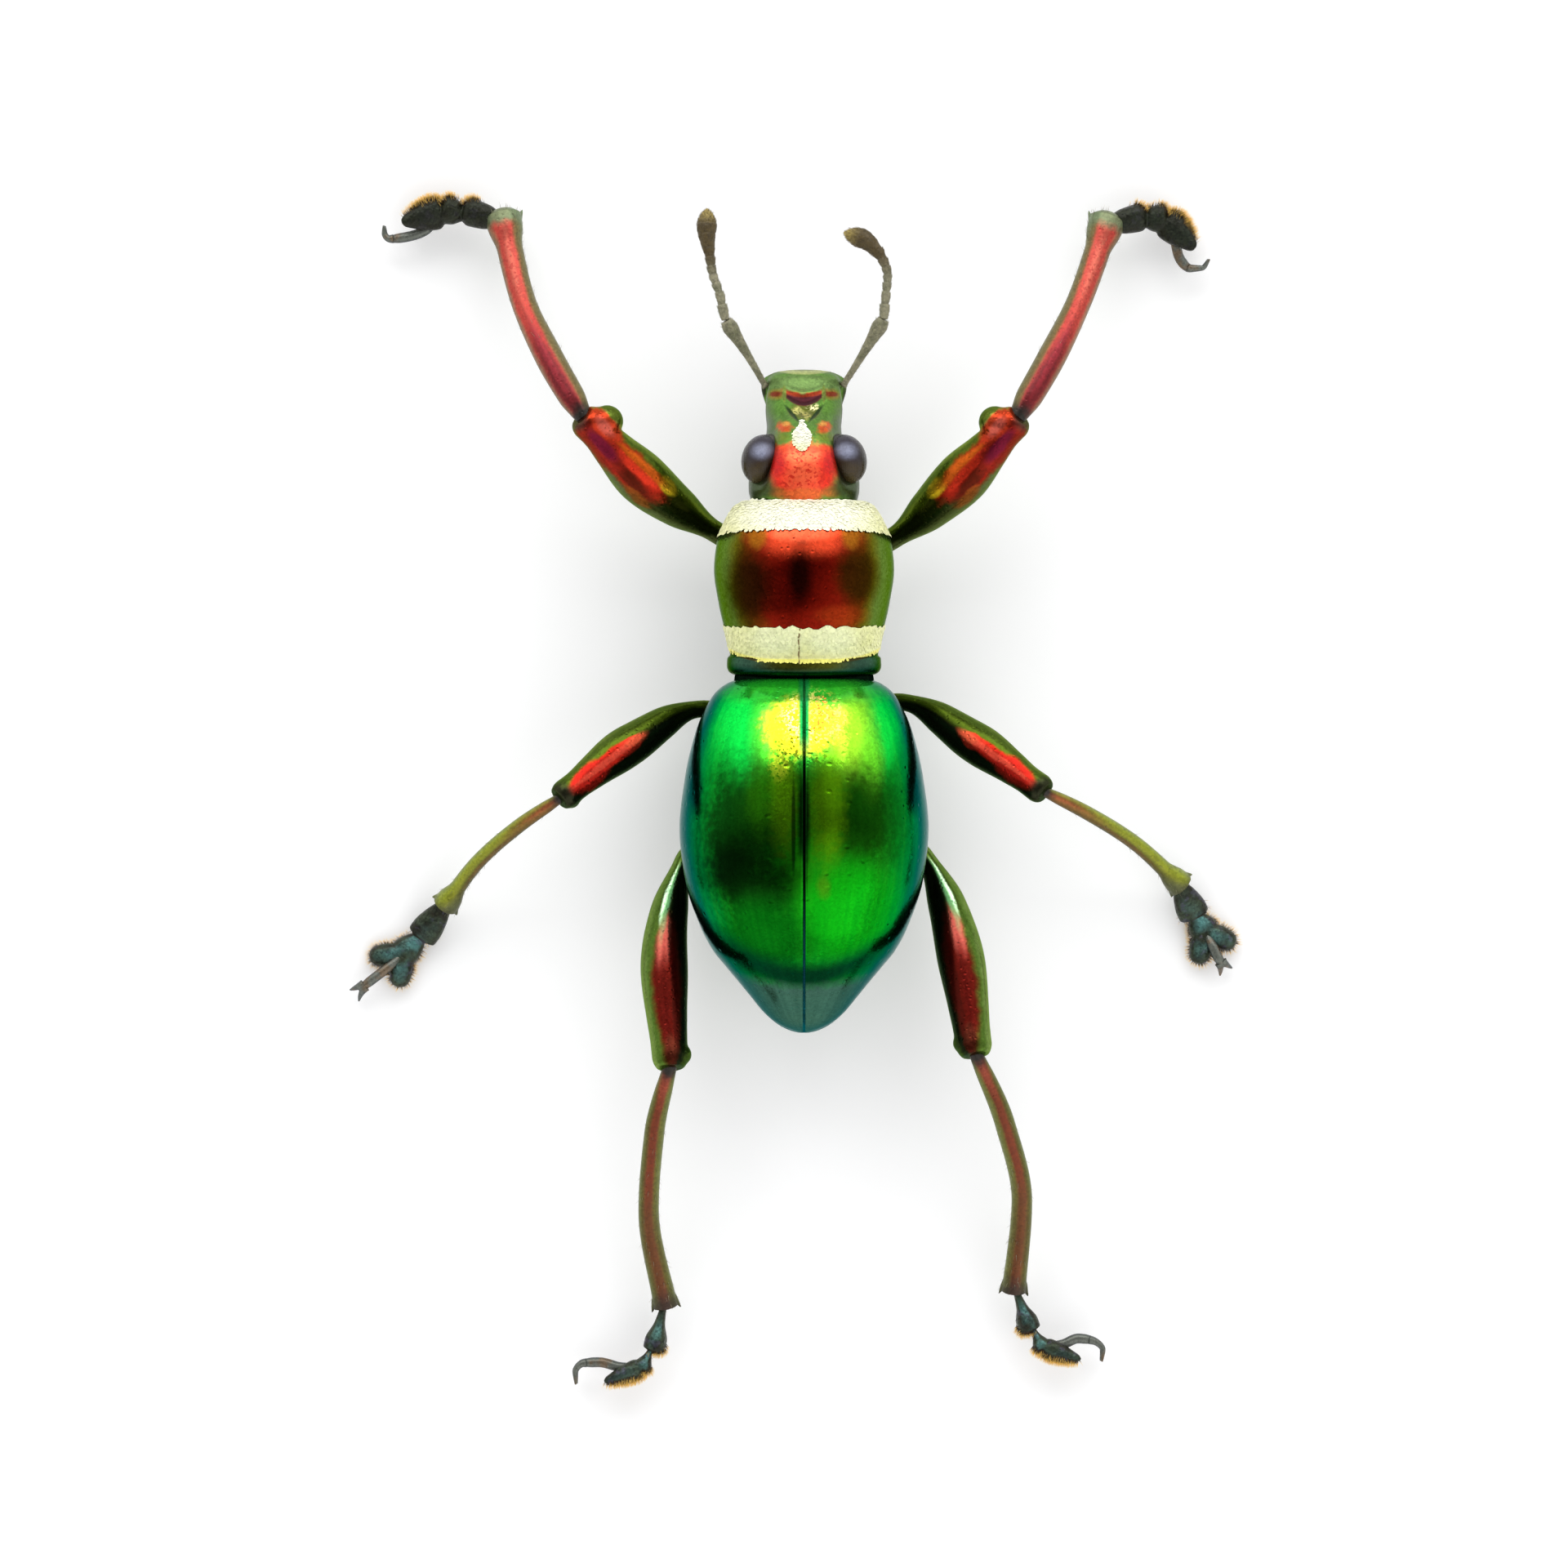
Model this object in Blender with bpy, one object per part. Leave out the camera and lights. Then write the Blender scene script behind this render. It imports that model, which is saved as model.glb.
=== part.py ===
"""A banded snout weevil as a still, life-size model, standing with its legs spread.

The head faces -Y, the back faces +Z and the feet stand on the floor at z = 0. Lengths below
are in millimetres, measured from the waist on the midline, and MM turns them into metres.
"""
import math
from dataclasses import dataclass

import bmesh
import bpy
import numpy as np
from mathutils import Matrix, Vector

MM = 0.001
GAP = 0.25
UP = (0.0, 0.0, 1.0)
FORWARD = (0.0, -1.0, 0.0)
SIDES = ("left", "right")
SMOOTH_BELOW = math.radians(38)

# Levels of the hind body above the floor
BELLY_LEVEL = 1.05
EDGE_LEVEL = 2.10
WIDEST_LEVEL = 2.80
HEAD_LEVEL = 3.00

# Wing cases, front to back: place, half width, top, widest level, lower edge
ELYTRA_ROWS = (
    (0.05, 1.74, 4.35, WIDEST_LEVEL, EDGE_LEVEL),
    (0.50, 2.16, 4.85, WIDEST_LEVEL, EDGE_LEVEL),
    (1.07, 2.40, 5.17, WIDEST_LEVEL, EDGE_LEVEL),
    (2.19, 2.67, 5.56, WIDEST_LEVEL, EDGE_LEVEL),
    (3.32, 2.81, 5.70, WIDEST_LEVEL, EDGE_LEVEL),
    (4.45, 2.68, 5.58, WIDEST_LEVEL, EDGE_LEVEL),
    (5.58, 2.27, 5.10, WIDEST_LEVEL, EDGE_LEVEL),
    (6.71, 1.47, 4.18, 2.75, EDGE_LEVEL),
    (7.27, 1.04, 3.55, 2.65, EDGE_LEVEL),
    (7.60, 0.75, 3.10, 2.50, EDGE_LEVEL),
    (7.84, 0.42, 2.75, 2.35, EDGE_LEVEL),
    (7.94, 0.16, 2.50, 2.25, EDGE_LEVEL),
)
SUTURE_DEPTH = 0.12
SUTURE_HALF_ANGLE = math.radians(2.5)

# Prothorax, front to back: place, half width, top, widest level, underside
PRONOTUM_ROWS = (
    (-4.05, 1.36, 4.10, HEAD_LEVEL, 1.90),
    (-3.91, 1.57, 4.28, HEAD_LEVEL, 1.75),
    (-3.51, 1.81, 4.52, HEAD_LEVEL, 1.55),
    (-3.11, 1.97, 4.70, HEAD_LEVEL, 1.42),
    (-2.51, 2.03, 4.84, HEAD_LEVEL, 1.35),
    (-1.72, 1.92, 4.80, HEAD_LEVEL, 1.35),
    (-0.92, 1.78, 4.52, HEAD_LEVEL, 1.42),
    (-0.62, 1.72, 4.34, HEAD_LEVEL, 1.48),
    (-0.42, 1.74, 4.32, HEAD_LEVEL, 1.50),
    (-0.24, 1.69, 4.20, HEAD_LEVEL, 1.60),
    (-0.20, 1.60, 4.08, HEAD_LEVEL, 1.72),
)

# Underside of the hind body, as a share of the wing cases' width over it
UNDER_WIDTH = 0.87
UNDER_RIM = 0.02
UNDER_TOP_POWER = 8
UNDER_POWER = 2.6
METATHORAX_ENDS = (0.02, 3.72)
METATHORAX_RISE = 0.35
METATHORAX_RISE_LENGTH = 0.3
ABDOMEN_ENDS = (METATHORAX_ENDS[1] + GAP, 7.44)
ABDOMEN_TAIL_LEVEL = 1.62
SEGMENT_SEAMS = (4.95, 5.95, 6.40, 6.82)
SEAM_DEPTH = 0.06
SEAM_HALF = 0.08

# Head and snout, back to front: place, height, half width, half height
HEAD_ROWS = (
    (-4.30, 3.00, 1.26, 1.12),
    (-4.55, 2.99, 1.29, 1.16),
    (-4.95, 2.88, 1.17, 1.10),
    (-5.40, 2.66, 0.94, 0.90),
    (-5.75, 2.44, 0.86, 0.72),
    (-6.10, 2.20, 0.88, 0.63),
    (-6.45, 1.96, 0.93, 0.60),
    (-6.66, 1.81, 0.96, 0.56),
    (-6.78, 1.73, 0.84, 0.44),
)
SNOUT_PITCH = math.radians(34)
SNOUT_BULGE = (0.0, -6.64, 2.14)
SNOUT_BULGE_RADII = (0.62, 0.36, 0.26)
SNOUT_DIP = (0.0, -6.16, 2.92)
SNOUT_DIP_RADII = (0.42, 0.62, 0.22)
MANDIBLE = (0.24, -6.98, 1.48)
MANDIBLE_RADII = (0.26, 0.30, 0.20)
SCROBE_ROUTE = ((0.96, -6.72, 1.98), (0.94, -6.25, 2.02), (0.90, -5.70, 1.86))
SCROBE_RADIUS = 0.13
EYE_CENTRE = (0.99, -4.96, 3.10)
EYE_RADII = (0.42, 0.56, 0.50)
EYE_YAW = math.radians(-14)

# Feelers: half thickness, and the route of each from root to tip
FEELER_HALF = 0.25
CLUB_HALF = 0.27
FUNICLE_JOINTS = 7
FUNICLE_SHARE = 0.58
JOINT_PINCH = 0.22
SCAPE_PROFILE = np.array((1.0, 1.0, 1.0, 1.04, 1.08, 0.95))
CLUB_SHARES = np.array((0.2, 0.45, 0.7, 0.9, 1.0))
CLUB_PROFILE = np.array((0.95, 1.0, 0.85, 0.5, 0.2))
SCAPE_ROUTES = {
    "left": ((0.94, -6.80, 1.98), (1.32, -7.40, 2.18), (1.74, -8.10, 2.36)),
    "right": ((0.96, -6.80, 1.98), (1.34, -7.40, 2.18), (1.76, -8.12, 2.36)),
}
FUNICLE_ROUTES = {
    "left": ((1.86, -8.33, 2.38), (1.93, -8.76, 2.34), (2.10, -9.30, 2.24),
             (2.16, -9.85, 2.12), (2.19, -10.68, 1.96)),
    "right": ((1.83, -8.33, 2.38), (1.84, -8.76, 2.34), (1.86, -9.24, 2.24),
              (1.62, -9.82, 2.12), (0.92, -10.14, 1.96)),
}

# Shares of a leg piece's length, and its half width there as a share of the widest
FEMUR_SHARES = (0.0, 0.28, 0.45, 0.65, 0.82, 0.91, 0.97, 1.0)
FEMUR_PROFILE = (0.42, 0.44, 0.80, 1.0, 0.82, 0.68, 0.74, 0.58)
TIBIA_SHARES = (0.0, 0.06, 0.3, 0.6, 0.85, 0.96, 1.0)
TIBIA_PROFILE = (0.75, 0.95, 0.98, 1.0, 1.06, 1.36, 1.15)
FEMUR_DEPTH = 0.92
TIBIA_DEPTH = 0.90
FEMUR_RINGS = 12
TIBIA_RINGS = 10


@dataclass
class LegKind:
    """Sizes that the two legs of a pair share."""
    coxa_radii: tuple
    femur_half: float
    knob_radius: float
    tibia_half: float
    joint_half_width: float
    joint_half_depth: float
    spurs: int


LEG_KINDS = {
    "front": LegKind((0.44, 0.46, 0.46), 0.60, 0.31, 0.29, 0.31, 0.25, 1),
    "middle": LegKind((0.46, 0.44, 0.44), 0.48, 0.26, 0.26, 0.31, 0.25, 0),
    "hind": LegKind((0.52, 0.42, 0.42), 0.54, 0.28, 0.26, 0.30, 0.25, 2),
}


@dataclass
class LegPose:
    """Where a leg's joints are, with x counted outward from the midline."""
    kind: str
    side: str
    femur: tuple
    knob: tuple
    tibia: tuple
    joints: tuple
    pad_tip: tuple
    claw: tuple
    sole: tuple


LEG_POSES = (
    LegPose("front", "left",
            femur=((0.62, -2.65, 1.25), (1.85, -3.30, 1.45), (3.40, -4.36, 2.20), (5.00, -5.96, 3.15)),
            knob=(4.46, -5.94, 2.94),
            tibia=((5.78, -7.36, 2.48), (6.38, -8.68, 1.72), (6.84, -10.56, 0.78)),
            joints=((7.34, -10.64, 0.66), (8.00, -10.70, 0.65)),
            pad_tip=(8.92, -10.84, 0.64),
            claw=((8.72, -10.36, 0.62), (9.16, -10.14, 0.60), (9.40, -10.24, 0.54)),
            sole=(0.0, -1.0, 0.0)),
    LegPose("front", "right",
            femur=((0.62, -2.65, 1.25), (1.94, -3.20, 1.45), (3.34, -4.36, 2.20), (4.84, -5.96, 3.15)),
            knob=(4.32, -5.90, 2.94),
            tibia=((5.64, -7.40, 2.48), (6.27, -8.70, 1.72), (6.90, -10.48, 0.78)),
            joints=((7.42, -10.58, 0.66), (7.98, -10.54, 0.65)),
            pad_tip=(8.84, -10.00, 0.64),
            claw=((8.46, -9.92, 0.62), (8.64, -9.54, 0.60), (8.94, -9.40, 0.54)),
            sole=(0.35, -0.94, 0.0)),
    LegPose("middle", "left",
            femur=((0.90, 0.85, 1.20), (2.29, 0.62, 1.42), (3.92, 1.43, 2.20), (5.52, 2.66, 3.05)),
            knob=(5.24, 2.71, 2.88),
            tibia=((6.48, 3.30, 2.36), (7.42, 4.12, 1.50), (8.16, 5.08, 0.62)),
            joints=((8.46, 5.58, 0.29), (8.93, 6.00, 0.27)),
            pad_tip=(9.58, 6.62, 0.27),
            claw=((9.60, 6.74, 0.46), (9.84, 6.94, 0.47), (10.00, 7.07, 0.38)),
            sole=(0.0, 0.0, -1.0)),
    LegPose("middle", "right",
            femur=((0.90, 0.85, 1.20), (2.13, 0.46, 1.42), (3.86, 1.38, 2.20), (5.44, 2.52, 3.05)),
            knob=(5.18, 2.54, 2.88),
            tibia=((6.42, 2.99, 2.36), (7.50, 3.66, 1.50), (8.58, 4.62, 0.62)),
            joints=((8.76, 5.10, 0.29), (9.02, 5.50, 0.27)),
            pad_tip=(9.42, 6.23, 0.27),
            claw=((9.36, 6.12, 0.46), (9.44, 6.30, 0.47), (9.50, 6.42, 0.38)),
            sole=(0.0, 0.0, -1.0)),
    LegPose("hind", "left",
            femur=((1.22, 3.24, 1.20), (2.70, 4.04, 1.42), (3.16, 6.30, 2.25), (3.00, 8.72, 3.15)),
            knob=(2.78, 8.42, 3.00),
            tibia=((3.38, 10.20, 2.44), (3.52, 12.00, 1.56), (3.14, 14.20, 0.78)),
            joints=((3.23, 14.82, 0.66), (3.53, 15.34, 0.65)),
            pad_tip=(4.48, 15.88, 0.64),
            claw=((4.36, 15.64, 0.62), (4.84, 15.54, 0.60), (5.10, 15.72, 0.54)),
            sole=(-0.30, 0.95, 0.0)),
    LegPose("hind", "right",
            femur=((1.22, 3.24, 1.20), (2.66, 3.90, 1.42), (3.48, 5.96, 2.25), (3.86, 8.44, 3.15)),
            knob=(3.60, 8.16, 3.00),
            tibia=((4.54, 10.00, 2.44), (4.94, 11.80, 1.56), (4.77, 13.86, 0.78)),
            joints=((4.95, 14.40, 0.66), (5.28, 14.86, 0.65)),
            pad_tip=(6.16, 15.38, 0.64),
            claw=((6.06, 15.14, 0.62), (6.48, 15.05, 0.60), (6.68, 15.24, 0.54)),
            sole=(-0.30, 0.95, 0.0)),
)

# Foot joints: shares of the length, and width, depth and lean to the sole at each
JOINT_SHARES = np.array((0.0, 0.3, 0.75, 1.0))
JOINT_WIDTHS = np.array((0.72, 0.86, 1.0, 0.78))
JOINT_DEPTHS = np.array((0.84, 0.92, 1.0, 0.80))
JOINT_LEANS = np.array((0.0, 0.12, 0.30, 0.36))
SEAM_SINK = 0.12
SECOND_SEAM_SHARE = 0.45

# The forked pad's halves
LOBE_SHARES = np.array((0.0, 0.3, 0.65, 0.9, 1.0))
LOBE_WIDTHS = np.array((0.70, 0.95, 1.0, 0.75, 0.35))
LOBE_DEPTHS = np.array((0.85, 1.0, 1.0, 0.80, 0.40))
LOBE_HALF_WIDTH = 0.28
LOBE_HALF_DEPTH = 0.24
LOBE_LEAN = 0.30
LOBE_SPREAD = math.radians(43)

# The claw stem and its two claws, and the spines at a shin's tip
STEM_PROFILE = np.array((0.8, 0.85, 1.0, 1.0, 0.95, 0.7))
STEM_HALF = 0.23
CLAW_PROFILE = np.array((1.0, 0.8, 0.3))
CLAW_HALF = 0.11
CLAW_LENGTH = 0.36
CLAW_SPREAD = math.radians(22)
CLAW_HOOK = 0.8
SPUR_PROFILE = np.array((1.0, 0.8, 0.2))
SPUR_HALF = 0.09
SPUR_LENGTH = 0.30

# Finish of each kind of piece: colour, roughness, metallic
FINISHES = {
    "elytra": ((0.03, 0.38, 0.04), 0.24, 0.8),
    "pronotum": ((0.50, 0.03, 0.01), 0.26, 0.8),
    "head": ((0.16, 0.22, 0.03), 0.32, 0.7),
    "underside": ((0.05, 0.16, 0.05), 0.34, 0.7),
    "eye": ((0.10, 0.10, 0.13), 0.15, 0.0),
    "antenna": ((0.14, 0.12, 0.05), 0.50, 0.2),
    "femur": ((0.36, 0.04, 0.01), 0.28, 0.8),
    "tibia": ((0.22, 0.14, 0.03), 0.36, 0.6),
    "tarsus": ((0.10, 0.12, 0.12), 0.42, 0.5),
}


def clear_scene():
    """Removes every object that the scene starts with."""
    for old in list(bpy.data.objects):
        bpy.data.objects.remove(old, do_unlink=True)


def smooth(keys, values, at):
    """Reads a curve that passes through the values at their keys and never overshoots them."""
    keys = np.asarray(keys, float)
    values = np.asarray(values, float)
    slopes = np.diff(values, axis=0) / np.diff(keys)[:, None]
    before, after = slopes[:-1], slopes[1:]
    inner = np.zeros_like(before)
    same_way = before * after > 0
    inner[same_way] = 2 * (before * after)[same_way] / (before + after)[same_way]
    tangents = np.vstack((slopes[:1], inner, slopes[-1:]))
    place = np.clip(np.searchsorted(keys, at, side="right") - 1, 0, len(keys) - 2)
    span = (keys[place + 1] - keys[place])[:, None]
    t = (np.asarray(at) - keys[place])[:, None] / span
    start = (2 * t**3 - 3 * t**2 + 1) * values[place] + (t**3 - 2 * t**2 + t) * span * tangents[place]
    end = (3 * t**2 - 2 * t**3) * values[place + 1] + (t**3 - t**2) * span * tangents[place + 1]
    return start + end


def lengths_along(points):
    """The distance of each point from the first, along the line through them."""
    steps = np.linalg.norm(np.diff(np.asarray(points, float), axis=0), axis=1)
    return np.concatenate(([0.0], np.cumsum(steps)))


def along_route(points, shares):
    """Points at the given shares of a smooth curve through the route's own points."""
    keys = lengths_along(points)
    return smooth(keys, points, np.asarray(shares) * keys[-1])


def new_object(name, mesh):
    """An object for a mesh, in the scene, with its faces pointing out."""
    bm = bmesh.new()
    bm.from_mesh(mesh)
    bmesh.ops.recalc_face_normals(bm, faces=bm.faces)
    bm.to_mesh(mesh)
    bm.free()
    made = bpy.data.objects.new(name, mesh)
    bpy.context.scene.collection.objects.link(made)
    return made


def skin(name, rings):
    """A closed body through rings of the same count, each end closed by a flat face."""
    count = len(rings[0])
    points = [Vector(point) for ring in rings for point in ring]
    faces = [tuple(range(count)), tuple(len(points) - 1 - i for i in range(count))]
    for row in range(len(rings) - 1):
        for i in range(count):
            j = (i + 1) % count
            low = row * count
            faces.append((low + j, low + i, low + count + i, low + count + j))
    mesh = bpy.data.meshes.new(name)
    mesh.from_pydata(points, [], faces)
    return new_object(name, mesh)


def sweep(name, path, half_widths, half_depths, up=UP, sides=10, first_face=None, last_face=None):
    """A body with elliptic rings square to its path, or lying in a plane given for an end."""
    path = np.asarray(path, float)
    ahead = np.gradient(path, axis=0)
    if first_face is not None:
        ahead[0] = first_face
    if last_face is not None:
        ahead[-1] = last_face
    angles = (np.arange(sides) + 0.5) * 2 * math.pi / sides
    rings = []
    for point, direction, width, depth in zip(path, ahead, half_widths, half_depths):
        direction = direction / np.linalg.norm(direction)
        across = np.cross(direction, up)
        across /= np.linalg.norm(across)
        over = np.cross(across, direction)
        rings.append(point + np.outer(np.cos(angles) * width, across)
                     + np.outer(np.sin(angles) * depth, over))
    return skin(name, rings)


def ball(name, centre, radii, turn=None, segments=12, rings=8):
    """An ellipsoid, turned about its own centre."""
    bm = bmesh.new()
    place = Matrix.Translation(Vector(centre)) @ (turn or Matrix.Identity(4)) @ Matrix.Diagonal((*radii, 1))
    bmesh.ops.create_uvsphere(bm, u_segments=segments, v_segments=rings, radius=1, matrix=place)
    mesh = bpy.data.meshes.new(name)
    bm.to_mesh(mesh)
    bm.free()
    return new_object(name, mesh)


def keep_largest(mesh):
    """Drops every closed surface of a mesh but its largest."""
    bm = bmesh.new()
    bm.from_mesh(mesh)
    islands = []
    unseen = set(bm.verts)
    while unseen:
        island = set()
        edge_of_search = [unseen.pop()]
        while edge_of_search:
            vert = edge_of_search.pop()
            island.add(vert)
            linked = {edge.other_vert(vert) for edge in vert.link_edges}
            fresh = linked & unseen
            unseen -= fresh
            edge_of_search.extend(fresh)
        islands.append(island)
    islands.sort(key=len)
    scraps = [vert for island in islands[:-1] for vert in island]
    bmesh.ops.delete(bm, geom=scraps, context="VERTS")
    bm.to_mesh(mesh)
    bm.free()


def boolean(base, others, operation, solver="EXACT"):
    """Joins the other closed meshes to the base, or cuts them out of it, and removes them."""
    group = bpy.data.collections.new(base.name + "_" + operation.lower())
    bpy.context.scene.collection.children.link(group)
    for other in others:
        group.objects.link(other)
    modifier = base.modifiers.new(operation.lower(), "BOOLEAN")
    modifier.operation = operation
    modifier.operand_type = "COLLECTION"
    modifier.collection = group
    modifier.solver = solver
    evaluated = base.evaluated_get(bpy.context.evaluated_depsgraph_get())
    mesh = bpy.data.meshes.new_from_object(evaluated)
    base.modifiers.clear()
    for other in others:
        bpy.data.objects.remove(other, do_unlink=True)
    bpy.data.collections.remove(group)
    keep_largest(mesh)
    base.data = mesh
    return base


def trunk(name, rows, count, sides, upper_power, lower_power, suture=0.0):
    """A symmetric body lofted front to back, rounder above or below by its two powers."""
    rows = np.asarray(rows, float)
    keys = lengths_along(rows[:, :3])
    stations = smooth(keys, rows, np.linspace(0, keys[-1], count))
    top_angle = math.pi / 2
    angles = np.arange(sides) * 2 * math.pi / sides - top_angle
    if suture:
        angles = np.sort(np.append(angles, (top_angle - SUTURE_HALF_ANGLE, top_angle + SUTURE_HALF_ANGLE)))
    rings = []
    for place, half_width, top, widest, bottom in stations:
        ring = []
        for angle in angles:
            power = upper_power if math.sin(angle) > 0 else lower_power
            reach = top - widest if math.sin(angle) > 0 else widest - bottom
            x = half_width * math.copysign(abs(math.cos(angle)) ** (2 / power), math.cos(angle))
            z = widest + reach * math.copysign(abs(math.sin(angle)) ** (2 / power), math.sin(angle))
            if suture and abs(angle - top_angle) < SUTURE_HALF_ANGLE / 2:
                z -= min(suture, reach / 4)
            ring.append((x, place, z))
        rings.append(ring)
    return skin(name, rings)


def under_rows(places, bellies):
    """Rows of the body under the wing cases, with its width taken from theirs."""
    cases = np.asarray(ELYTRA_ROWS)
    half_widths = smooth(cases[:, 0], cases[:, 1:2], places)[:, 0] * UNDER_WIDTH
    tops = np.full(len(places), EDGE_LEVEL - GAP)
    return np.column_stack((places, half_widths, tops, tops - UNDER_RIM, bellies))


def side_sign(side):
    """The sign of x on a side of the body."""
    return 1 if side == "left" else -1


def on_side(points, side):
    """Points given with x counted outward, placed on their own side of the body."""
    return np.array(points, float) * np.array((side_sign(side), 1, 1))


def femur_route(pose):
    """A leg's thigh from hip to knee."""
    return on_side(pose.femur, pose.side)


def tibia_route(pose):
    """A leg's shin, after the knee."""
    return on_side(pose.tibia, pose.side)


def foot_routes(pose):
    """The foot's joints, its pad's tip, its claw stem and the way its sole faces."""
    return [on_side(points, pose.side) for points in (pose.joints, pose.pad_tip, pose.claw, pose.sole)]


def unit(vector):
    """A vector of the same direction and length one."""
    return np.asarray(vector, float) / np.linalg.norm(vector)


def joint_face(before, joint, after):
    """The way across a joint, midway between the directions that meet there."""
    return unit(unit(joint - before) + unit(after - joint))


def make_thigh_pieces(pose, grow=0.0):
    """The hip ball and the thigh, thicker by grow all round where they cut a socket."""
    kind = LEG_KINDS[pose.kind]
    route = femur_route(pose)
    face = joint_face(route[-2], route[-1], tibia_route(pose)[0])
    route[-1] = route[-1] - face * GAP / 2
    shares = np.linspace(0, 1, FEMUR_RINGS)
    widths = smooth(FEMUR_SHARES, np.array(FEMUR_PROFILE)[:, None], shares)[:, 0] * kind.femur_half
    hip = ball("hip", route[0], np.array(kind.coxa_radii) + grow)
    thigh = sweep("thigh", along_route(route, shares), widths + grow, widths * FEMUR_DEPTH + grow,
                  last_face=face, sides=12)
    return hip, thigh


def make_femur(pose):
    """Thigh, hip ball and the knob beside the knee as one body."""
    hip, thigh = make_thigh_pieces(pose)
    radius = LEG_KINDS[pose.kind].knob_radius
    knob = ball("knob", on_side(pose.knob, pose.side), (radius, radius, radius), segments=10, rings=6)
    return boolean(thigh, [hip, knob], "UNION")


def make_spurs(pose, end, ahead):
    """Short spines at the shin's tip, the first on the side toward the midline."""
    kind = LEG_KINDS[pose.kind]
    across = unit(np.cross(ahead, UP))
    inward = across * -math.copysign(1, across[0] * side_sign(pose.side))
    halves = SPUR_HALF * SPUR_PROFILE
    spurs = []
    for side in (1, -1)[:kind.spurs]:
        root = end + inward * side * kind.tibia_half - ahead * SPUR_LENGTH / 2
        tip = end + inward * side * (kind.tibia_half + SPUR_HALF) + ahead * SPUR_LENGTH / 2
        spurs.append(sweep("spur", (root, (root + tip) / 2, tip), halves, halves, sides=6))
    return spurs


def make_tibia(pose):
    """The shin, from the face at the knee to the face at the foot."""
    kind = LEG_KINDS[pose.kind]
    knee_side = femur_route(pose)
    route = [knee_side[-1], *tibia_route(pose)]
    first_joint = foot_routes(pose)[0][0]
    knee_face = joint_face(knee_side[-2], knee_side[-1], route[1])
    foot_face = joint_face(route[-2], route[-1], first_joint)
    route[0] = route[0] + knee_face * GAP / 2
    route[-1] = route[-1] - foot_face * GAP / 2
    shares = np.linspace(0, 1, TIBIA_RINGS)
    widths = smooth(TIBIA_SHARES, np.array(TIBIA_PROFILE)[:, None], shares)[:, 0] * kind.tibia_half
    shin = sweep("shin", along_route(route, shares), widths, np.maximum(widths * TIBIA_DEPTH, FEELER_HALF),
                 first_face=knee_face, last_face=foot_face)
    spurs = make_spurs(pose, route[-1], unit(route[-1] - route[-2]))
    return boolean(shin, spurs, "UNION") if spurs else shin


def make_foot_joint(start, end, sole, half_width, half_depth, face=None):
    """One foot joint: a narrow root, and a broad tip that leans to the sole."""
    path = start + np.outer(JOINT_SHARES, end - start) + np.outer(JOINT_LEANS * half_depth, sole)
    return sweep("joint", path, half_width * JOINT_WIDTHS, half_depth * JOINT_DEPTHS, up=sole, sides=8,
                 first_face=face)


def make_lobe(root, ahead, length, sole):
    """One half of the forked pad."""
    path = root + np.outer(LOBE_SHARES, ahead * length + sole * LOBE_HALF_DEPTH * LOBE_LEAN)
    return sweep("lobe", path, LOBE_HALF_WIDTH * LOBE_WIDTHS, LOBE_HALF_DEPTH * LOBE_DEPTHS, up=sole,
                 sides=8)


def make_claw_parts(root, claw, sole):
    """The claw stem and its two hooked claws."""
    stem_path = along_route([root, *claw], np.linspace(0, 1, len(STEM_PROFILE)))
    stem_halves = STEM_HALF * STEM_PROFILE
    parts = [sweep("stem", stem_path, stem_halves, stem_halves, up=sole, sides=8)]
    ahead = unit(claw[-1] - claw[-2])
    side = unit(np.cross(ahead, sole))
    for turn in (-1, 1):
        out = unit(ahead * math.cos(CLAW_SPREAD) + side * turn * math.sin(CLAW_SPREAD))
        start = claw[-1] - ahead * CLAW_HALF + side * turn * CLAW_HALF * CLAW_HOOK
        bend = start + out * CLAW_LENGTH / 2
        tip = bend + unit(out + sole * CLAW_HOOK) * CLAW_LENGTH / 2
        halves = CLAW_HALF * CLAW_PROFILE
        parts.append(sweep("claw", (start, bend, tip), halves, halves, up=sole, sides=6))
    return parts


def make_tarsus(pose):
    """The foot: two joints, a forked pad and a clawed stem, cut flat where it stands."""
    kind = LEG_KINDS[pose.kind]
    joints, pad_tip, claw, sole = foot_routes(pose)
    ankle_side = tibia_route(pose)
    face = joint_face(ankle_side[-2], ankle_side[-1], joints[0])
    start = ankle_side[-1] + face * GAP / 2
    first_seam = (joints[0] + joints[1]) / 2
    second_seam = joints[1] + (joints[1] - joints[0]) * SECOND_SEAM_SHARE
    ahead = unit(joints[1] - joints[0])
    pad_way = unit(pad_tip - second_seam)
    side = unit(np.cross(pad_way, sole))
    length = np.linalg.norm(pad_tip - second_seam) / math.cos(LOBE_SPREAD) + SEAM_SINK
    sizes = (kind.joint_half_width, kind.joint_half_depth)
    root = make_foot_joint(start, first_seam, sole, *sizes, face=face)
    pieces = [make_foot_joint(first_seam - ahead * SEAM_SINK, second_seam, sole, *sizes)]
    for turn in (-1, 1):
        way = pad_way * math.cos(LOBE_SPREAD) + side * turn * math.sin(LOBE_SPREAD)
        pieces.append(make_lobe(second_seam - way * SEAM_SINK, way, length, sole))
    pieces.extend(make_claw_parts(second_seam, claw, sole))
    foot = boolean(root, pieces, "UNION", solver="MANIFOLD")
    return boolean(foot, [make_floor_cutter(joints[1])], "DIFFERENCE", solver="MANIFOLD")


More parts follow.
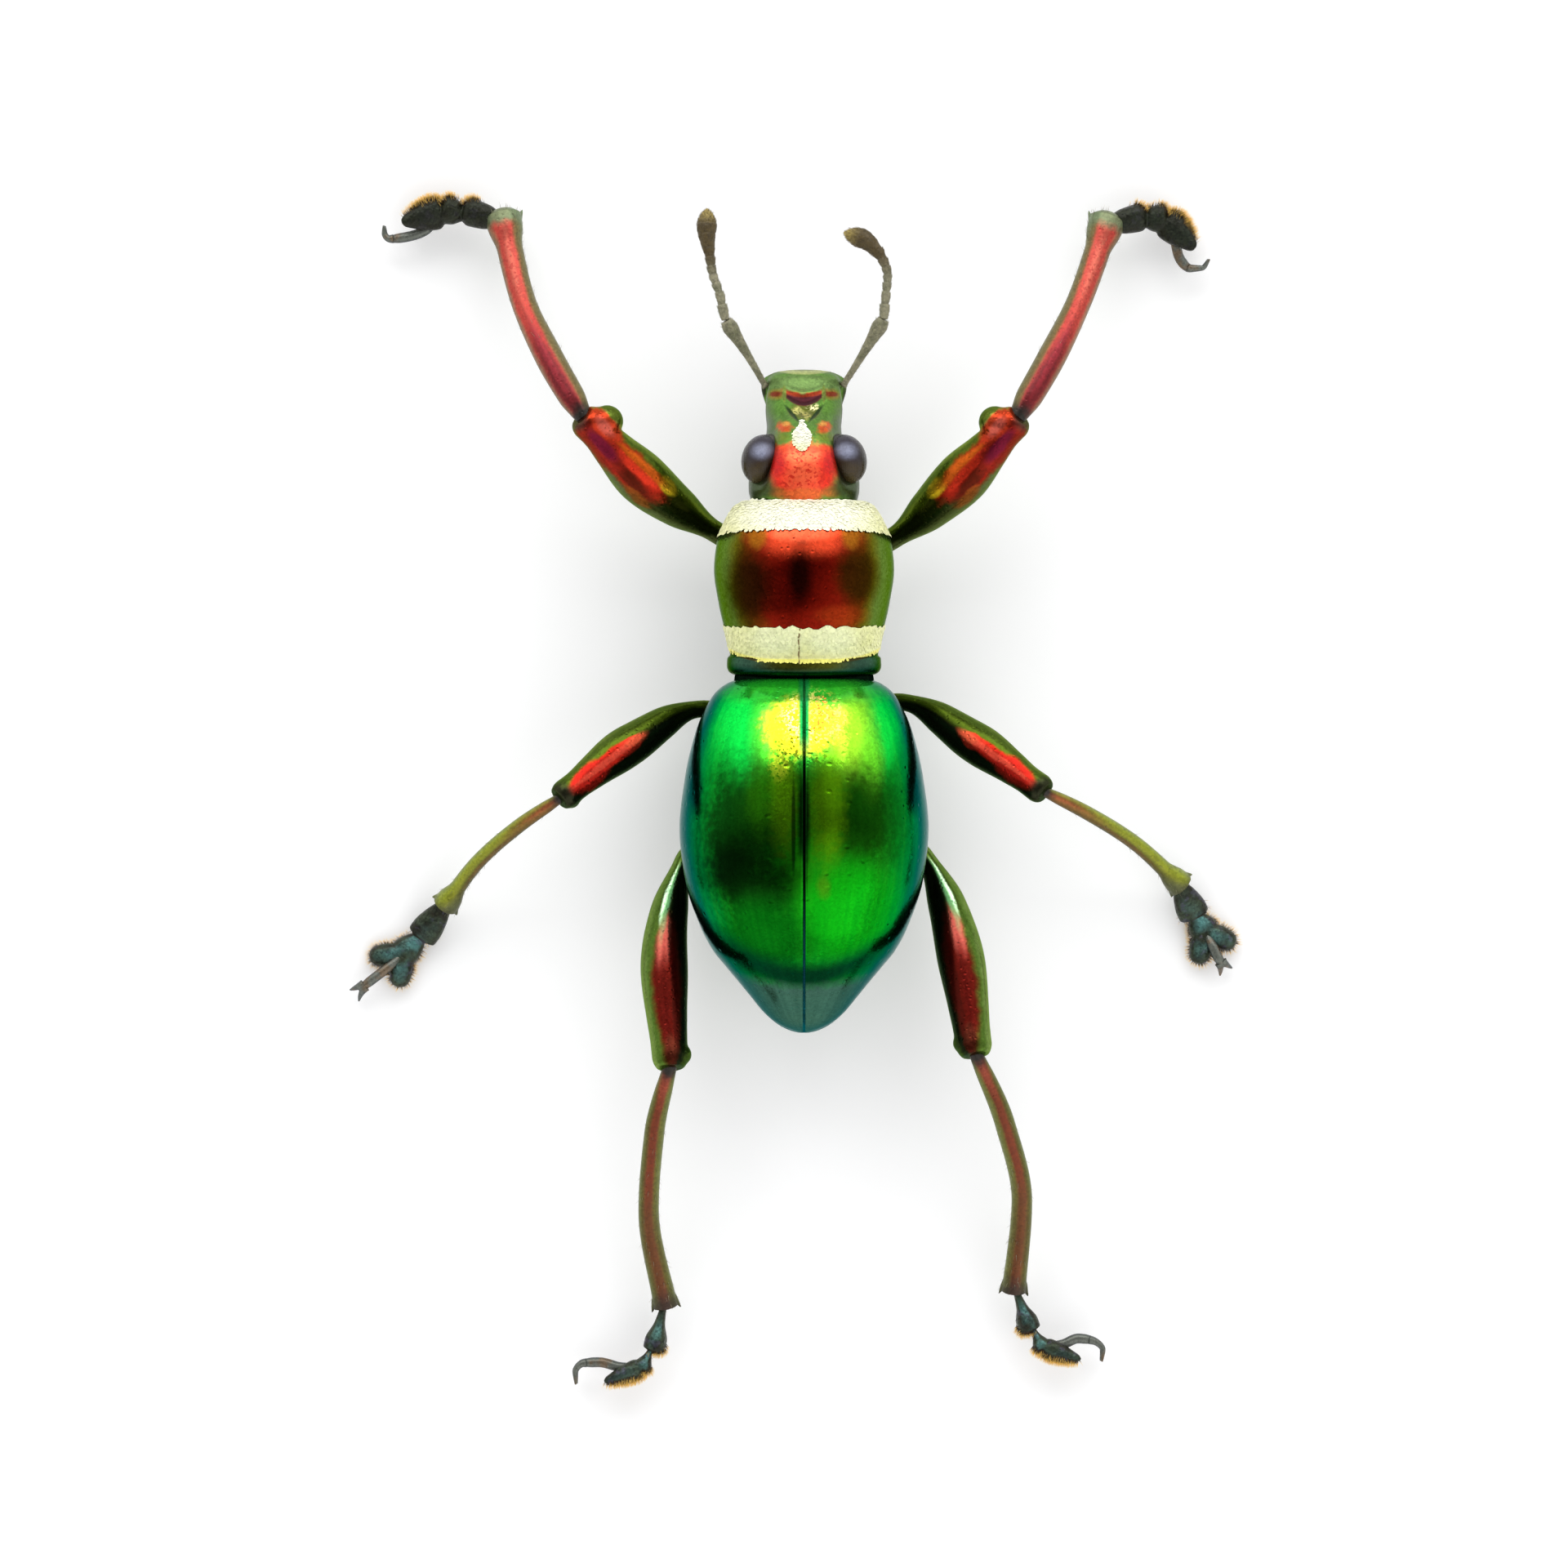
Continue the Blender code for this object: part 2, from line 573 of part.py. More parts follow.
def make_floor_cutter(under):
    """A block whose top is the floor."""
    size = 6.0
    bm = bmesh.new()
    centre = Matrix.Translation((under[0], under[1], -size / 2))
    bmesh.ops.create_cube(bm, size=size, matrix=centre)
    mesh = bpy.data.meshes.new("floor")
    bm.to_mesh(mesh)
    bm.free()
    return new_object("floor", mesh)


def make_elytra():
    """The wing cases, which are grown together along the suture."""
    return trunk("elytra", ELYTRA_ROWS, 20, 28, 2.25, 3.6, suture=SUTURE_DEPTH)


def make_pronotum():
    """The front body with its rear flange, and hollows for the front hips."""
    body = trunk("pronotum", PRONOTUM_ROWS, 15, 28, 2.15, 2.2)
    return boolean(body, hip_cutters("front"), "DIFFERENCE")


def hip_cutters(kind):
    """The thighs of a pair of legs, grown by the gap."""
    return [piece for pose in LEG_POSES if pose.kind == kind for piece in make_thigh_pieces(pose, GAP)]


def make_metathorax():
    """The underside between the waist and the belly, with hollows for four hips."""
    places = np.linspace(*METATHORAX_ENDS, 8)
    fall = np.exp(-(places - places[0]) / METATHORAX_RISE_LENGTH)
    rows = under_rows(places, BELLY_LEVEL + METATHORAX_RISE * fall)
    body = trunk("metathorax", rows, 10, 20, UNDER_TOP_POWER, UNDER_POWER)
    return boolean(body, hip_cutters("middle") + hip_cutters("hind"), "DIFFERENCE")


def make_abdomen():
    """The belly plates, with a shallow seam between each two."""
    start, end = ABDOMEN_ENDS
    seams = np.array(SEGMENT_SEAMS)
    places = np.sort(np.concatenate(((start, end), seams, seams - SEAM_HALF, seams + SEAM_HALF)))
    rise = (ABDOMEN_TAIL_LEVEL - BELLY_LEVEL) * ((places - start) / (end - start)) ** 2
    rows = under_rows(places, BELLY_LEVEL + rise)
    at_seam = np.isin(places, seams)
    rows[at_seam, 1] -= SEAM_DEPTH
    rows[at_seam, 4] += SEAM_DEPTH
    body = trunk("abdomen", rows, 22, 20, UNDER_TOP_POWER, UNDER_POWER)
    return boolean(body, hip_cutters("hind"), "DIFFERENCE")


def make_skull(grow=0.0):
    """Head and snout as one smooth body, thicker by grow all round."""
    rows = np.asarray(HEAD_ROWS)
    keys = lengths_along(rows[:, :2])
    stations = smooth(keys, rows, np.linspace(0, keys[-1], 14))
    path = np.column_stack((np.zeros(len(stations)), stations[:, :2]))
    path[-1, 1] -= grow
    return sweep("head", path, stations[:, 2] + grow, stations[:, 3] + grow, sides=24, first_face=FORWARD)


def make_head():
    """The skull with jaws, a hollow for each eye and a groove for each feeler."""
    body = make_skull()
    tilt = Matrix.Rotation(SNOUT_PITCH, 4, "X")
    joined = [ball("bulge", SNOUT_BULGE, SNOUT_BULGE_RADII, tilt, 12, 8)]
    cut = [ball("dip", SNOUT_DIP, SNOUT_DIP_RADII, tilt, 12, 8)]
    halves = [SCROBE_RADIUS] * 5
    for side in SIDES:
        joined.append(ball("jaw", on_side(MANDIBLE, side), MANDIBLE_RADII, tilt, 10, 6))
        path = along_route(on_side(SCROBE_ROUTE, side), np.linspace(0, 1, len(halves)))
        cut.append(sweep("scrobe", path, halves, halves, sides=8))
        cut.append(make_eye(side, GAP))
    boolean(body, joined, "UNION")
    return boolean(body, cut, "DIFFERENCE")


def make_eye(side, grow=0.0):
    """One eye, or the hollow that it sits in."""
    turn = Matrix.Rotation(EYE_YAW * side_sign(side), 4, "Z")
    return ball("eye", on_side(EYE_CENTRE, side), np.array(EYE_RADII) + grow, turn, 16, 10)


def make_scape(side):
    """The feeler's long first joint."""
    halves = FEELER_HALF * SCAPE_PROFILE
    path = along_route(on_side(SCAPE_ROUTES[side], side), np.linspace(0, 1, len(halves)))
    joint = sweep("scape", path, halves, halves, sides=8)
    return boolean(joint, [make_skull(GAP)], "DIFFERENCE")


def make_funicle(side):
    """The feeler's short joints and its club."""
    bead_ends = np.arange(2 * FUNICLE_JOINTS + 1)
    shares = np.concatenate((FUNICLE_SHARE * bead_ends / bead_ends[-1],
                             FUNICLE_SHARE + (1 - FUNICLE_SHARE) * CLUB_SHARES))
    beads = FEELER_HALF * (1 - JOINT_PINCH * (bead_ends % 2 == 0))
    halves = np.concatenate((beads, CLUB_HALF * CLUB_PROFILE))
    return sweep("funicle", along_route(on_side(FUNICLE_ROUTES[side], side), shares), halves, halves,
                 sides=8)


def finish_piece(made, name, finish, root, holder, collection):
    """Names a piece, gives it its finish, and sets its origin at the root it turns about."""
    made.name = name
    made.data.name = name
    made.data.transform(Matrix.Scale(MM, 4) @ Matrix.Translation(-Vector(root)))
    made.location = Vector(root) * MM
    made.parent = holder
    colour, roughness, metallic = FINISHES[finish]
    material = bpy.data.materials.new(name)
    material.use_nodes = True
    shader = material.node_tree.nodes["Principled BSDF"]
    shader.inputs["Base Color"].default_value = (*colour, 1.0)
    shader.inputs["Roughness"].default_value = roughness
    shader.inputs["Metallic"].default_value = metallic
    made.data.materials.clear()
    made.data.materials.append(material)
    made.data.shade_smooth()
    made.data.set_sharp_from_angle(angle=SMOOTH_BELOW)
    for holding in list(made.users_collection):
        holding.objects.unlink(made)
    collection.objects.link(made)


def stand_on_origin(holder, pieces):
    """Moves the holder so that the floor under the middle of the model is the origin."""
    bpy.context.view_layer.update()
    corners = np.array([made.matrix_world @ vert.co for made in pieces for vert in made.data.vertices])
    low, high = corners.min(axis=0), corners.max(axis=0)
    holder.location = (-(low[0] + high[0]) / 2, -(low[1] + high[1]) / 2, -low[2])
    bpy.context.view_layer.update()


def build():
    """Makes every piece, names it and hangs it on the holder."""
    clear_scene()
    collection = bpy.data.collections.new("weevil")
    bpy.context.scene.collection.children.link(collection)
    holder = bpy.data.objects.new("waist", None)
    collection.objects.link(holder)
    waist = (0.0, 0.0, WIDEST_LEVEL)
    pieces = [
        (make_elytra(), "elytra", "elytra", waist),
        (make_pronotum(), "pronotum", "pronotum", (0.0, PRONOTUM_ROWS[-1][0], HEAD_LEVEL)),
        (make_head(), "head", "head", (0.0, HEAD_ROWS[0][0], HEAD_LEVEL)),
        (make_metathorax(), "metathorax", "underside", waist),
        (make_abdomen(), "abdomen", "underside", waist),
    ]
    for side in SIDES:
        feeler = "antenna_" + side
        scape_root = on_side(SCAPE_ROUTES[side][0], side)
        funicle_root = on_side(FUNICLE_ROUTES[side][0], side)
        pieces.append((make_eye(side), "eye_" + side, "eye", on_side(EYE_CENTRE, side)))
        pieces.append((make_scape(side), feeler + "_scape", "antenna", scape_root))
        pieces.append((make_funicle(side), feeler + "_funicle", "antenna", funicle_root))
    for pose in LEG_POSES:
        leg = "leg_" + pose.kind + "_" + pose.side
        femur, tibia = femur_route(pose), tibia_route(pose)
        pieces.append((make_femur(pose), leg + "_femur", "femur", femur[0]))
        pieces.append((make_tibia(pose), leg + "_tibia", "tibia", femur[-1]))
        pieces.append((make_tarsus(pose), leg + "_tarsus", "tarsus", tibia[-1]))
    for made, name, finish, root in pieces:
        finish_piece(made, name, finish, root, holder, collection)
    stand_on_origin(holder, [made for made, _, _, _ in pieces])


build()
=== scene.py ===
"""Looks of the banded snout weevil: plates, limbs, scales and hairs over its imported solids.

Shapes are made in millimetres, measured from the waist on the midline as in the part's source,
and keep() moves each finished piece to its place in the frame, in metres.
"""

import math
from dataclasses import dataclass, replace

import bmesh
import bpy
import numpy as np
from mathutils import Matrix, Vector


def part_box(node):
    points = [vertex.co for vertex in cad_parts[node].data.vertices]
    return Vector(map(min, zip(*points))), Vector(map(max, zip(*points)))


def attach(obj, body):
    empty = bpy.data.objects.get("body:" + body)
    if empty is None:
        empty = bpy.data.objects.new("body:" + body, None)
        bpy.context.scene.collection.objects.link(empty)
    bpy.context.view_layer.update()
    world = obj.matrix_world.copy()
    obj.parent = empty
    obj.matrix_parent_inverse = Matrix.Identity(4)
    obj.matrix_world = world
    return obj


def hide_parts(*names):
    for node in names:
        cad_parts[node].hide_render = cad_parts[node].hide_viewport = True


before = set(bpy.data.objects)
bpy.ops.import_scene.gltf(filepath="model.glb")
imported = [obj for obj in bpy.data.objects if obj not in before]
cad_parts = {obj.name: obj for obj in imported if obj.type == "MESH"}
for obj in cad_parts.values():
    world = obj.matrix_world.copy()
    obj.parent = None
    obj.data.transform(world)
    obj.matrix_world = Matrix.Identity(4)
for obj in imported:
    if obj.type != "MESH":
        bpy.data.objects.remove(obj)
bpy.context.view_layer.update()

MM = 0.001
UP = np.array((0.0, 0.0, 1.0))
SIDES = ("left", "right")
SEED = 7

# Levels above the floor
BELLY_LEVEL = 1.05
EDGE_LEVEL = 2.10

# Where the solids' waist is in the frame, read from the wing cases' box
CASES_LOW, CASES_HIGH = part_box("elytra")
CASES_FRONT = 0.05
WAIST = Vector(((CASES_LOW.x + CASES_HIGH.x) / 2, CASES_LOW.y - CASES_FRONT * MM, 0.0))

# Wing cases, front to back: place, half width, top, widest level, lower edge
ELYTRA_ROWS = (
    (-0.04, 1.50, 4.12, 2.80, 2.12),
    (0.05, 1.73, 4.34, 2.80, 2.10),
    (0.26, 2.00, 4.62, 2.80, 2.10),
    (0.50, 2.16, 4.85, 2.80, 2.10),
    (1.07, 2.42, 5.17, 2.80, 2.10),
    (2.19, 2.69, 5.56, 2.80, 2.10),
    (3.32, 2.81, 5.70, 2.80, 2.10),
    (4.45, 2.69, 5.58, 2.80, 2.10),
    (5.58, 2.32, 5.10, 2.80, 2.10),
    (6.10, 2.04, 4.74, 2.78, 2.10),
    (6.42, 1.78, 4.44, 2.76, 2.10),
    (6.78, 1.48, 4.10, 2.73, 2.10),
    (7.15, 1.18, 3.68, 2.66, 2.10),
    (7.50, 0.89, 3.22, 2.52, 2.10),
    (7.76, 0.58, 2.88, 2.38, 2.10),
    (7.90, 0.30, 2.60, 2.28, 2.10),
    (7.94, 0.14, 2.50, 2.25, 2.10),
)
ELYTRA_POWERS = (2.25, 3.6)
SUTURE_COLUMNS = np.array((0.012, 0.025, 0.04, 0.06, 0.085))
SUTURE_FULL_HALF = 1.8
SUTURE_HALF = 0.026
SUTURE_DEPTH = 0.05
# Rings along the wing cases and points round each
CASES_GRID = (150, 144)
# Line along the wing cases' sides: height above their edge, half width, depth
SIDE_LINE = (0.42, 0.06, 0.025)

# Prothorax, front to back: place, half width, top, widest level, underside
PRONOTUM_ROWS = (
    (-4.06, 1.30, 4.04, 3.00, 1.96),
    (-4.02, 1.40, 4.14, 3.00, 1.86),
    (-3.91, 1.57, 4.28, 3.00, 1.75),
    (-3.51, 1.81, 4.52, 3.00, 1.55),
    (-3.11, 1.97, 4.70, 3.00, 1.42),
    (-2.51, 2.03, 4.84, 3.00, 1.35),
    (-1.72, 1.92, 4.80, 3.00, 1.35),
    (-0.92, 1.74, 4.52, 3.00, 1.42),
    (-0.62, 1.69, 4.34, 3.00, 1.48),
    (-0.50, 1.67, 4.28, 3.00, 1.50),
    (-0.42, 1.73, 4.33, 3.00, 1.50),
    (-0.24, 1.74, 4.32, 3.00, 1.53),
    (-0.14, 1.71, 4.27, 3.00, 1.58),
    (-0.08, 1.64, 4.17, 3.00, 1.68),
    (-0.05, 1.52, 4.04, 3.00, 1.80),
)
PRONOTUM_POWERS = (2.15, 2.2)
# How much further forward the prothorax's rear edge is at its sides
REAR_SWEEP = 0.09
# Where it starts, how far behind it is full, and for what half width
SWEEP_START, SWEEP_LENGTH, SWEEP_HALF = -1.4, 0.9, 1.7
# Runs of its rings: first place, last place, count; and points round each ring
PRONOTUM_RUNS = ((-4.06, -3.9, 10), (-3.9, -0.7, 60), (-0.7, -0.05, 32))
PRONOTUM_RING = 160

# Pale bands across the prothorax: front and rear edge on the midline, and further back at the sides
BAND_FRONT = (-4.055, -3.44)
BAND_REAR = (-1.17, -0.44)
BAND_FRONT_SWEEP = (0.0, 0.22)
BAND_REAR_SWEEP = (-0.14, -0.47)
BAND_FRAY = (0.024, 0.005)
BAND_HALF_ANGLE = math.radians(104)
BAND_LIFT = 0.012
BAND_GRID = (18, 200)
BAND_SWEEP_POWER = 2.5
# Ragged edges: columns between knots, and the share left by the neck
FRAY_STEP = 3
NECK_EDGE, NECK_FRAY = -4.0, 0.2
# Narrowing ends: start and length as shares of the half turn, and depth
PINCH_START, PINCH_LENGTH, PINCH_DEPTH = 0.80, 0.20, 0.46

# Head and snout, back to front: place, height, half width, half height
HEAD_ROWS = (
    (-3.80, 3.00, 1.10, 0.98),
    (-4.10, 3.00, 1.22, 1.08),
    (-4.30, 3.00, 1.27, 1.13),
    (-4.55, 2.99, 1.28, 1.15),
    (-4.95, 2.88, 1.10, 1.10),
    (-5.40, 2.66, 0.88, 0.88),
    (-5.75, 2.44, 0.84, 0.70),
    (-6.10, 2.20, 0.89, 0.62),
    (-6.45, 1.96, 0.95, 0.58),
    (-6.66, 1.81, 0.98, 0.53),
    (-6.82, 1.71, 0.95, 0.42),
)
SNOUT_PITCH = math.radians(34)
HEAD_GRID = (60, 96)
LIP_CENTRE, LIP_RADII = (0.0, -6.70, 1.98), (0.80, 0.27, 0.34)
JAW_CENTRE, JAW_RADII, JAW_TURN = (0.24, -6.74, 1.42), (0.20, 0.26, 0.15), math.radians(18)
EYE_CENTRE = (0.945, -4.98, 3.25)
EYE_RADII = (0.465, 0.57, 0.55)
EYE_YAW = math.radians(-14)
# An eye's dark rim: offset inward and down, and size as a share of the eye's
EYE_RIM_OFFSET, EYE_RIM_STRETCH = (0.12, 0.0, 0.10), (1.0, 1.04, 1.0)
# Pale spot on the forehead: front, length, middle, and half widths along it
SPOT_FRONT, SPOT_LENGTH, SPOT_MIDDLE = -5.88, 0.69, 0.05
SPOT_SHARES = (0.0, 0.14, 0.28, 0.42, 0.72, 0.9, 1.0)
SPOT_HALVES = (0.02, 0.05, 0.11, 0.20, 0.20, 0.11, 0.03)
SPOT_GRID = (16, 14)
ABOVE_ALL = 6.0

# Relief of the head: middle, reach, height, bend and slant of each swelling or hollow, on both sides unless x is 0
SKULL_RELIEF = (
    ((0.0, -6.82, 2.10), (0.75, 0.20, 0.35), 0.06, 0.0, 0.0),
    ((0.0, -6.33, 2.45), (0.38, 0.11, 0.60), -0.09, 0.85, 0.0),
    ((0.0, -6.50, 2.35), (0.36, 0.06, 0.60), 0.03, 0.79, 0.0),
    ((0.0, -6.08, 2.65), (0.20, 0.17, 0.60), -0.09, 0.0, 0.0),
    ((0.245, -5.99, 2.65), (0.045, 0.21, 0.60), -0.08, 0.0, 0.79),
    ((0.0, -5.62, 2.90), (0.17, 0.22, 0.50), -0.05, 0.0, 0.0),
    ((0.56, -6.15, 2.60), (0.20, 0.42, 0.50), 0.05, 0.0, 0.0),
    ((0.42, -5.68, 2.95), (0.15, 0.14, 0.50), 0.03, 0.0, 0.0),
    ((1.06, -4.98, 3.50), (0.34, 0.58, 0.50), -0.40, 0.0, 0.0),
    ((0.00, -4.80, 4.05), (0.45, 0.40, 0.40), 0.04, 0.0, 0.0),
    ((0.98, -6.60, 2.02), (0.20, 0.34, 0.16), -0.17, 0.0, 0.0),
    ((0.95, -6.20, 2.06), (0.20, 0.34, 0.15), -0.16, 0.0, 0.0),
    ((0.92, -5.75, 1.96), (0.20, 0.30, 0.14), -0.12, 0.0, 0.0),
)

# Body under the wing cases: share of their width, top above their edge, shoulder below that
UNDER_WIDTH, UNDER_TOP, UNDER_SHOULDER, UNDER_POWERS = 0.87, 0.25, 0.3, (6, 2.6)
UNDER_RING = 96
# Hind chest and belly: first place, last place, count
CHEST_ROWS, CHEST_RINGS = (0.02, 3.85, 14), (0.02, 3.84, 60)
BELLY_ROWS, BELLY_RINGS = (3.86, 7.46, 14), (3.86, 7.46, 170)
# Rise of the underside at the chest's front, over what length, and at the belly's tip
CHEST_RISE, CHEST_RISE_LENGTH, BELLY_RISE = 0.35, 0.3, 0.57
# Half width and depth of the chest's middle groove and the belly's seams
CHEST_GROOVE, BELLY_GROOVE = (0.05, 0.03), (0.035, 0.06)
CHEST_GROOVE_TOP = 2.0
BELLY_SEAMS = (4.95, 5.95, 6.40, 6.82)
# Waist, front to back: place, half width, top, widest level, underside
WAIST_ROWS = ((-0.40, 1.50, 3.90, 3.0, 1.75), (-0.08, 1.57, 3.98, 2.9, 1.75), (0.20, 1.60, 3.98, 2.8, 1.60))
WAIST_POWERS = (2.2, 2.2)
WAIST_RINGS = 12

# Feelers: the route of each, with x counted outward from the midline
SCAPE_ROUTES = {
    "left": ((0.86, -6.66, 1.98), (1.28, -7.38, 2.18), (1.76, -8.14, 2.36)),
    "right": ((0.88, -6.68, 1.98), (1.32, -7.38, 2.18), (1.80, -8.17, 2.36)),
}
SCAPE_SHARES = (0.0, 0.06, 0.45, 0.75, 0.9, 1.0)
SCAPE_HALVES = (0.09, 0.07, 0.09, 0.14, 0.18, 0.13)
FUNICLE_ROUTES = {
    "left": ((1.78, -8.16, 2.38), (1.90, -8.72, 2.34), (2.07, -9.24, 2.26), (2.16, -9.85, 2.12)),
    "right": ((1.80, -8.18, 2.38), (1.85, -8.72, 2.34), (1.89, -9.18, 2.26), (1.66, -9.78, 2.12)),
}
CLUB_ROUTES = {
    "left": ((2.15, -9.70, 2.14), (2.20, -10.20, 2.05), (2.19, -10.70, 1.96)),
    "right": ((1.74, -9.62, 2.14), (1.38, -9.98, 2.05), (0.90, -10.16, 1.96)),
}
FUNICLE_LENGTHS = (1.5, 1.25, 0.9, 0.85, 0.85, 0.9, 1.0)
FUNICLE_HALVES = (0.115, 0.105, 0.10, 0.10, 0.105, 0.115, 0.13)
CLUB_SHARES = (0.0, 0.2, 0.45, 0.62, 0.88, 1.0)
CLUB_HALVES = (0.12, 0.155, 0.205, 0.225, 0.135, 0.02)
BEAD_SHARES = (0.0, 0.15, 0.7, 0.92, 1.0)
BEAD_PROFILE = (0.70, 0.80, 1.0, 0.95, 0.72)
# Rings of the club: shares of its length, half width as a share, and depth
CLUB_RINGS, CLUB_RING_HALF, CLUB_RING_DEPTH = (0.42, 0.66), 0.02, 0.012


@dataclass
class LegKind:
    """Sizes that the two legs of a pair share: foot sizes are across and toward the sole."""
    coxa_radii: tuple
    femur_half: float
    femur_profile: tuple
    femur_front: tuple
    knob_radius: float
    tibia_half: float
    tibia_profile: tuple
    tibia_flare: float
    tibia_front: tuple
    spurs: int
    spur_length: float
    joints: tuple
    joint_profile: tuple
    lobe: tuple
    lobe_length: float
    lobe_spread: float
    lobe_profile: tuple
    claw_spread: float
    # Turquoise highlight on the first joint, the second joint and the pad
    sheen: tuple
    # Fringe: where it starts round the sole, its reach round the pad, and its lean to the sole
    fringe: tuple


LEG_KINDS = {
    "front": LegKind(
        coxa_radii=(0.44, 0.46, 0.46), femur_half=0.60, femur_front=(0, -1, 0), knob_radius=0.37,
        femur_profile=(0.42, 0.42, 0.78, 1.0, 0.77, 0.66, 0.68, 0.52),
        tibia_half=0.27, tibia_flare=1.58, tibia_front=(-1, 0, 0), spurs=1, spur_length=0.26,
        tibia_profile=(0.68, 0.86, 1.14, 1.20, 1.06, 1.10),
        joints=((0.26, 0.29), (0.26, 0.29)), joint_profile=(0.42, 0.60, 1.0, 1.10, 0.84, 0.40),
        lobe=(0.22, 0.37), lobe_length=1.04, lobe_spread=math.radians(15),
        lobe_profile=(0.62, 1.0, 0.86, 0.50, 0.30, 0.14),
        claw_spread=0.10, sheen=(0.15, 0.15, 0.08), fringe=(0.30, 0.50, 0.75)),
    "middle": LegKind(
        coxa_radii=(0.46, 0.44, 0.44), femur_half=0.48, femur_front=(0, -1, 0), knob_radius=0.22,
        femur_profile=(0.42, 0.42, 0.78, 1.0, 0.80, 0.70, 0.72, 0.58),
        tibia_half=0.17, tibia_flare=1.80, tibia_front=(0, -1, 0), spurs=2, spur_length=0.12,
        tibia_profile=(0.66, 0.72, 0.86, 0.96, 1.0, 1.08),
        joints=((0.34, 0.22), (0.31, 0.21)), joint_profile=(0.40, 0.52, 0.86, 1.05, 1.05, 0.66),
        lobe=(0.27, 0.20), lobe_length=0.84, lobe_spread=math.radians(40),
        lobe_profile=(0.36, 0.85, 1.0, 0.84, 0.55, 0.20),
        claw_spread=0.11, sheen=(0.35, 1.0, 0.50), fringe=(-0.10, 0.66, 0.10)),
    "hind": LegKind(
        coxa_radii=(0.52, 0.42, 0.42), femur_half=0.54, femur_front=(1, 0, 0), knob_radius=0.25,
        femur_profile=(0.42, 0.42, 0.80, 1.0, 0.86, 0.78, 0.76, 0.58),
        tibia_half=0.235, tibia_flare=1.22, tibia_front=(-1, 0, 0), spurs=2, spur_length=0.26,
        tibia_profile=(0.66, 0.72, 0.86, 0.98, 1.0, 1.08),
        joints=((0.27, 0.25), (0.20, 0.19)), joint_profile=(0.30, 0.31, 0.50, 1.0, 1.0, 0.66),
        lobe=(0.20, 0.22), lobe_length=0.98, lobe_spread=math.radians(13),
        lobe_profile=(0.62, 1.0, 0.86, 0.52, 0.32, 0.14),
        claw_spread=0.10, sheen=(1.0, 1.0, 0.12), fringe=(0.30, 0.50, 0.75)),
}


@dataclass
class LegPose:
    """Where a leg's joints are, with x counted outward from the midline."""
    kind: str
    side: str
    femur: tuple
    knob: tuple
    tibia: tuple
    joints: tuple
    pad_tip: tuple
    claw: tuple
    sole: tuple


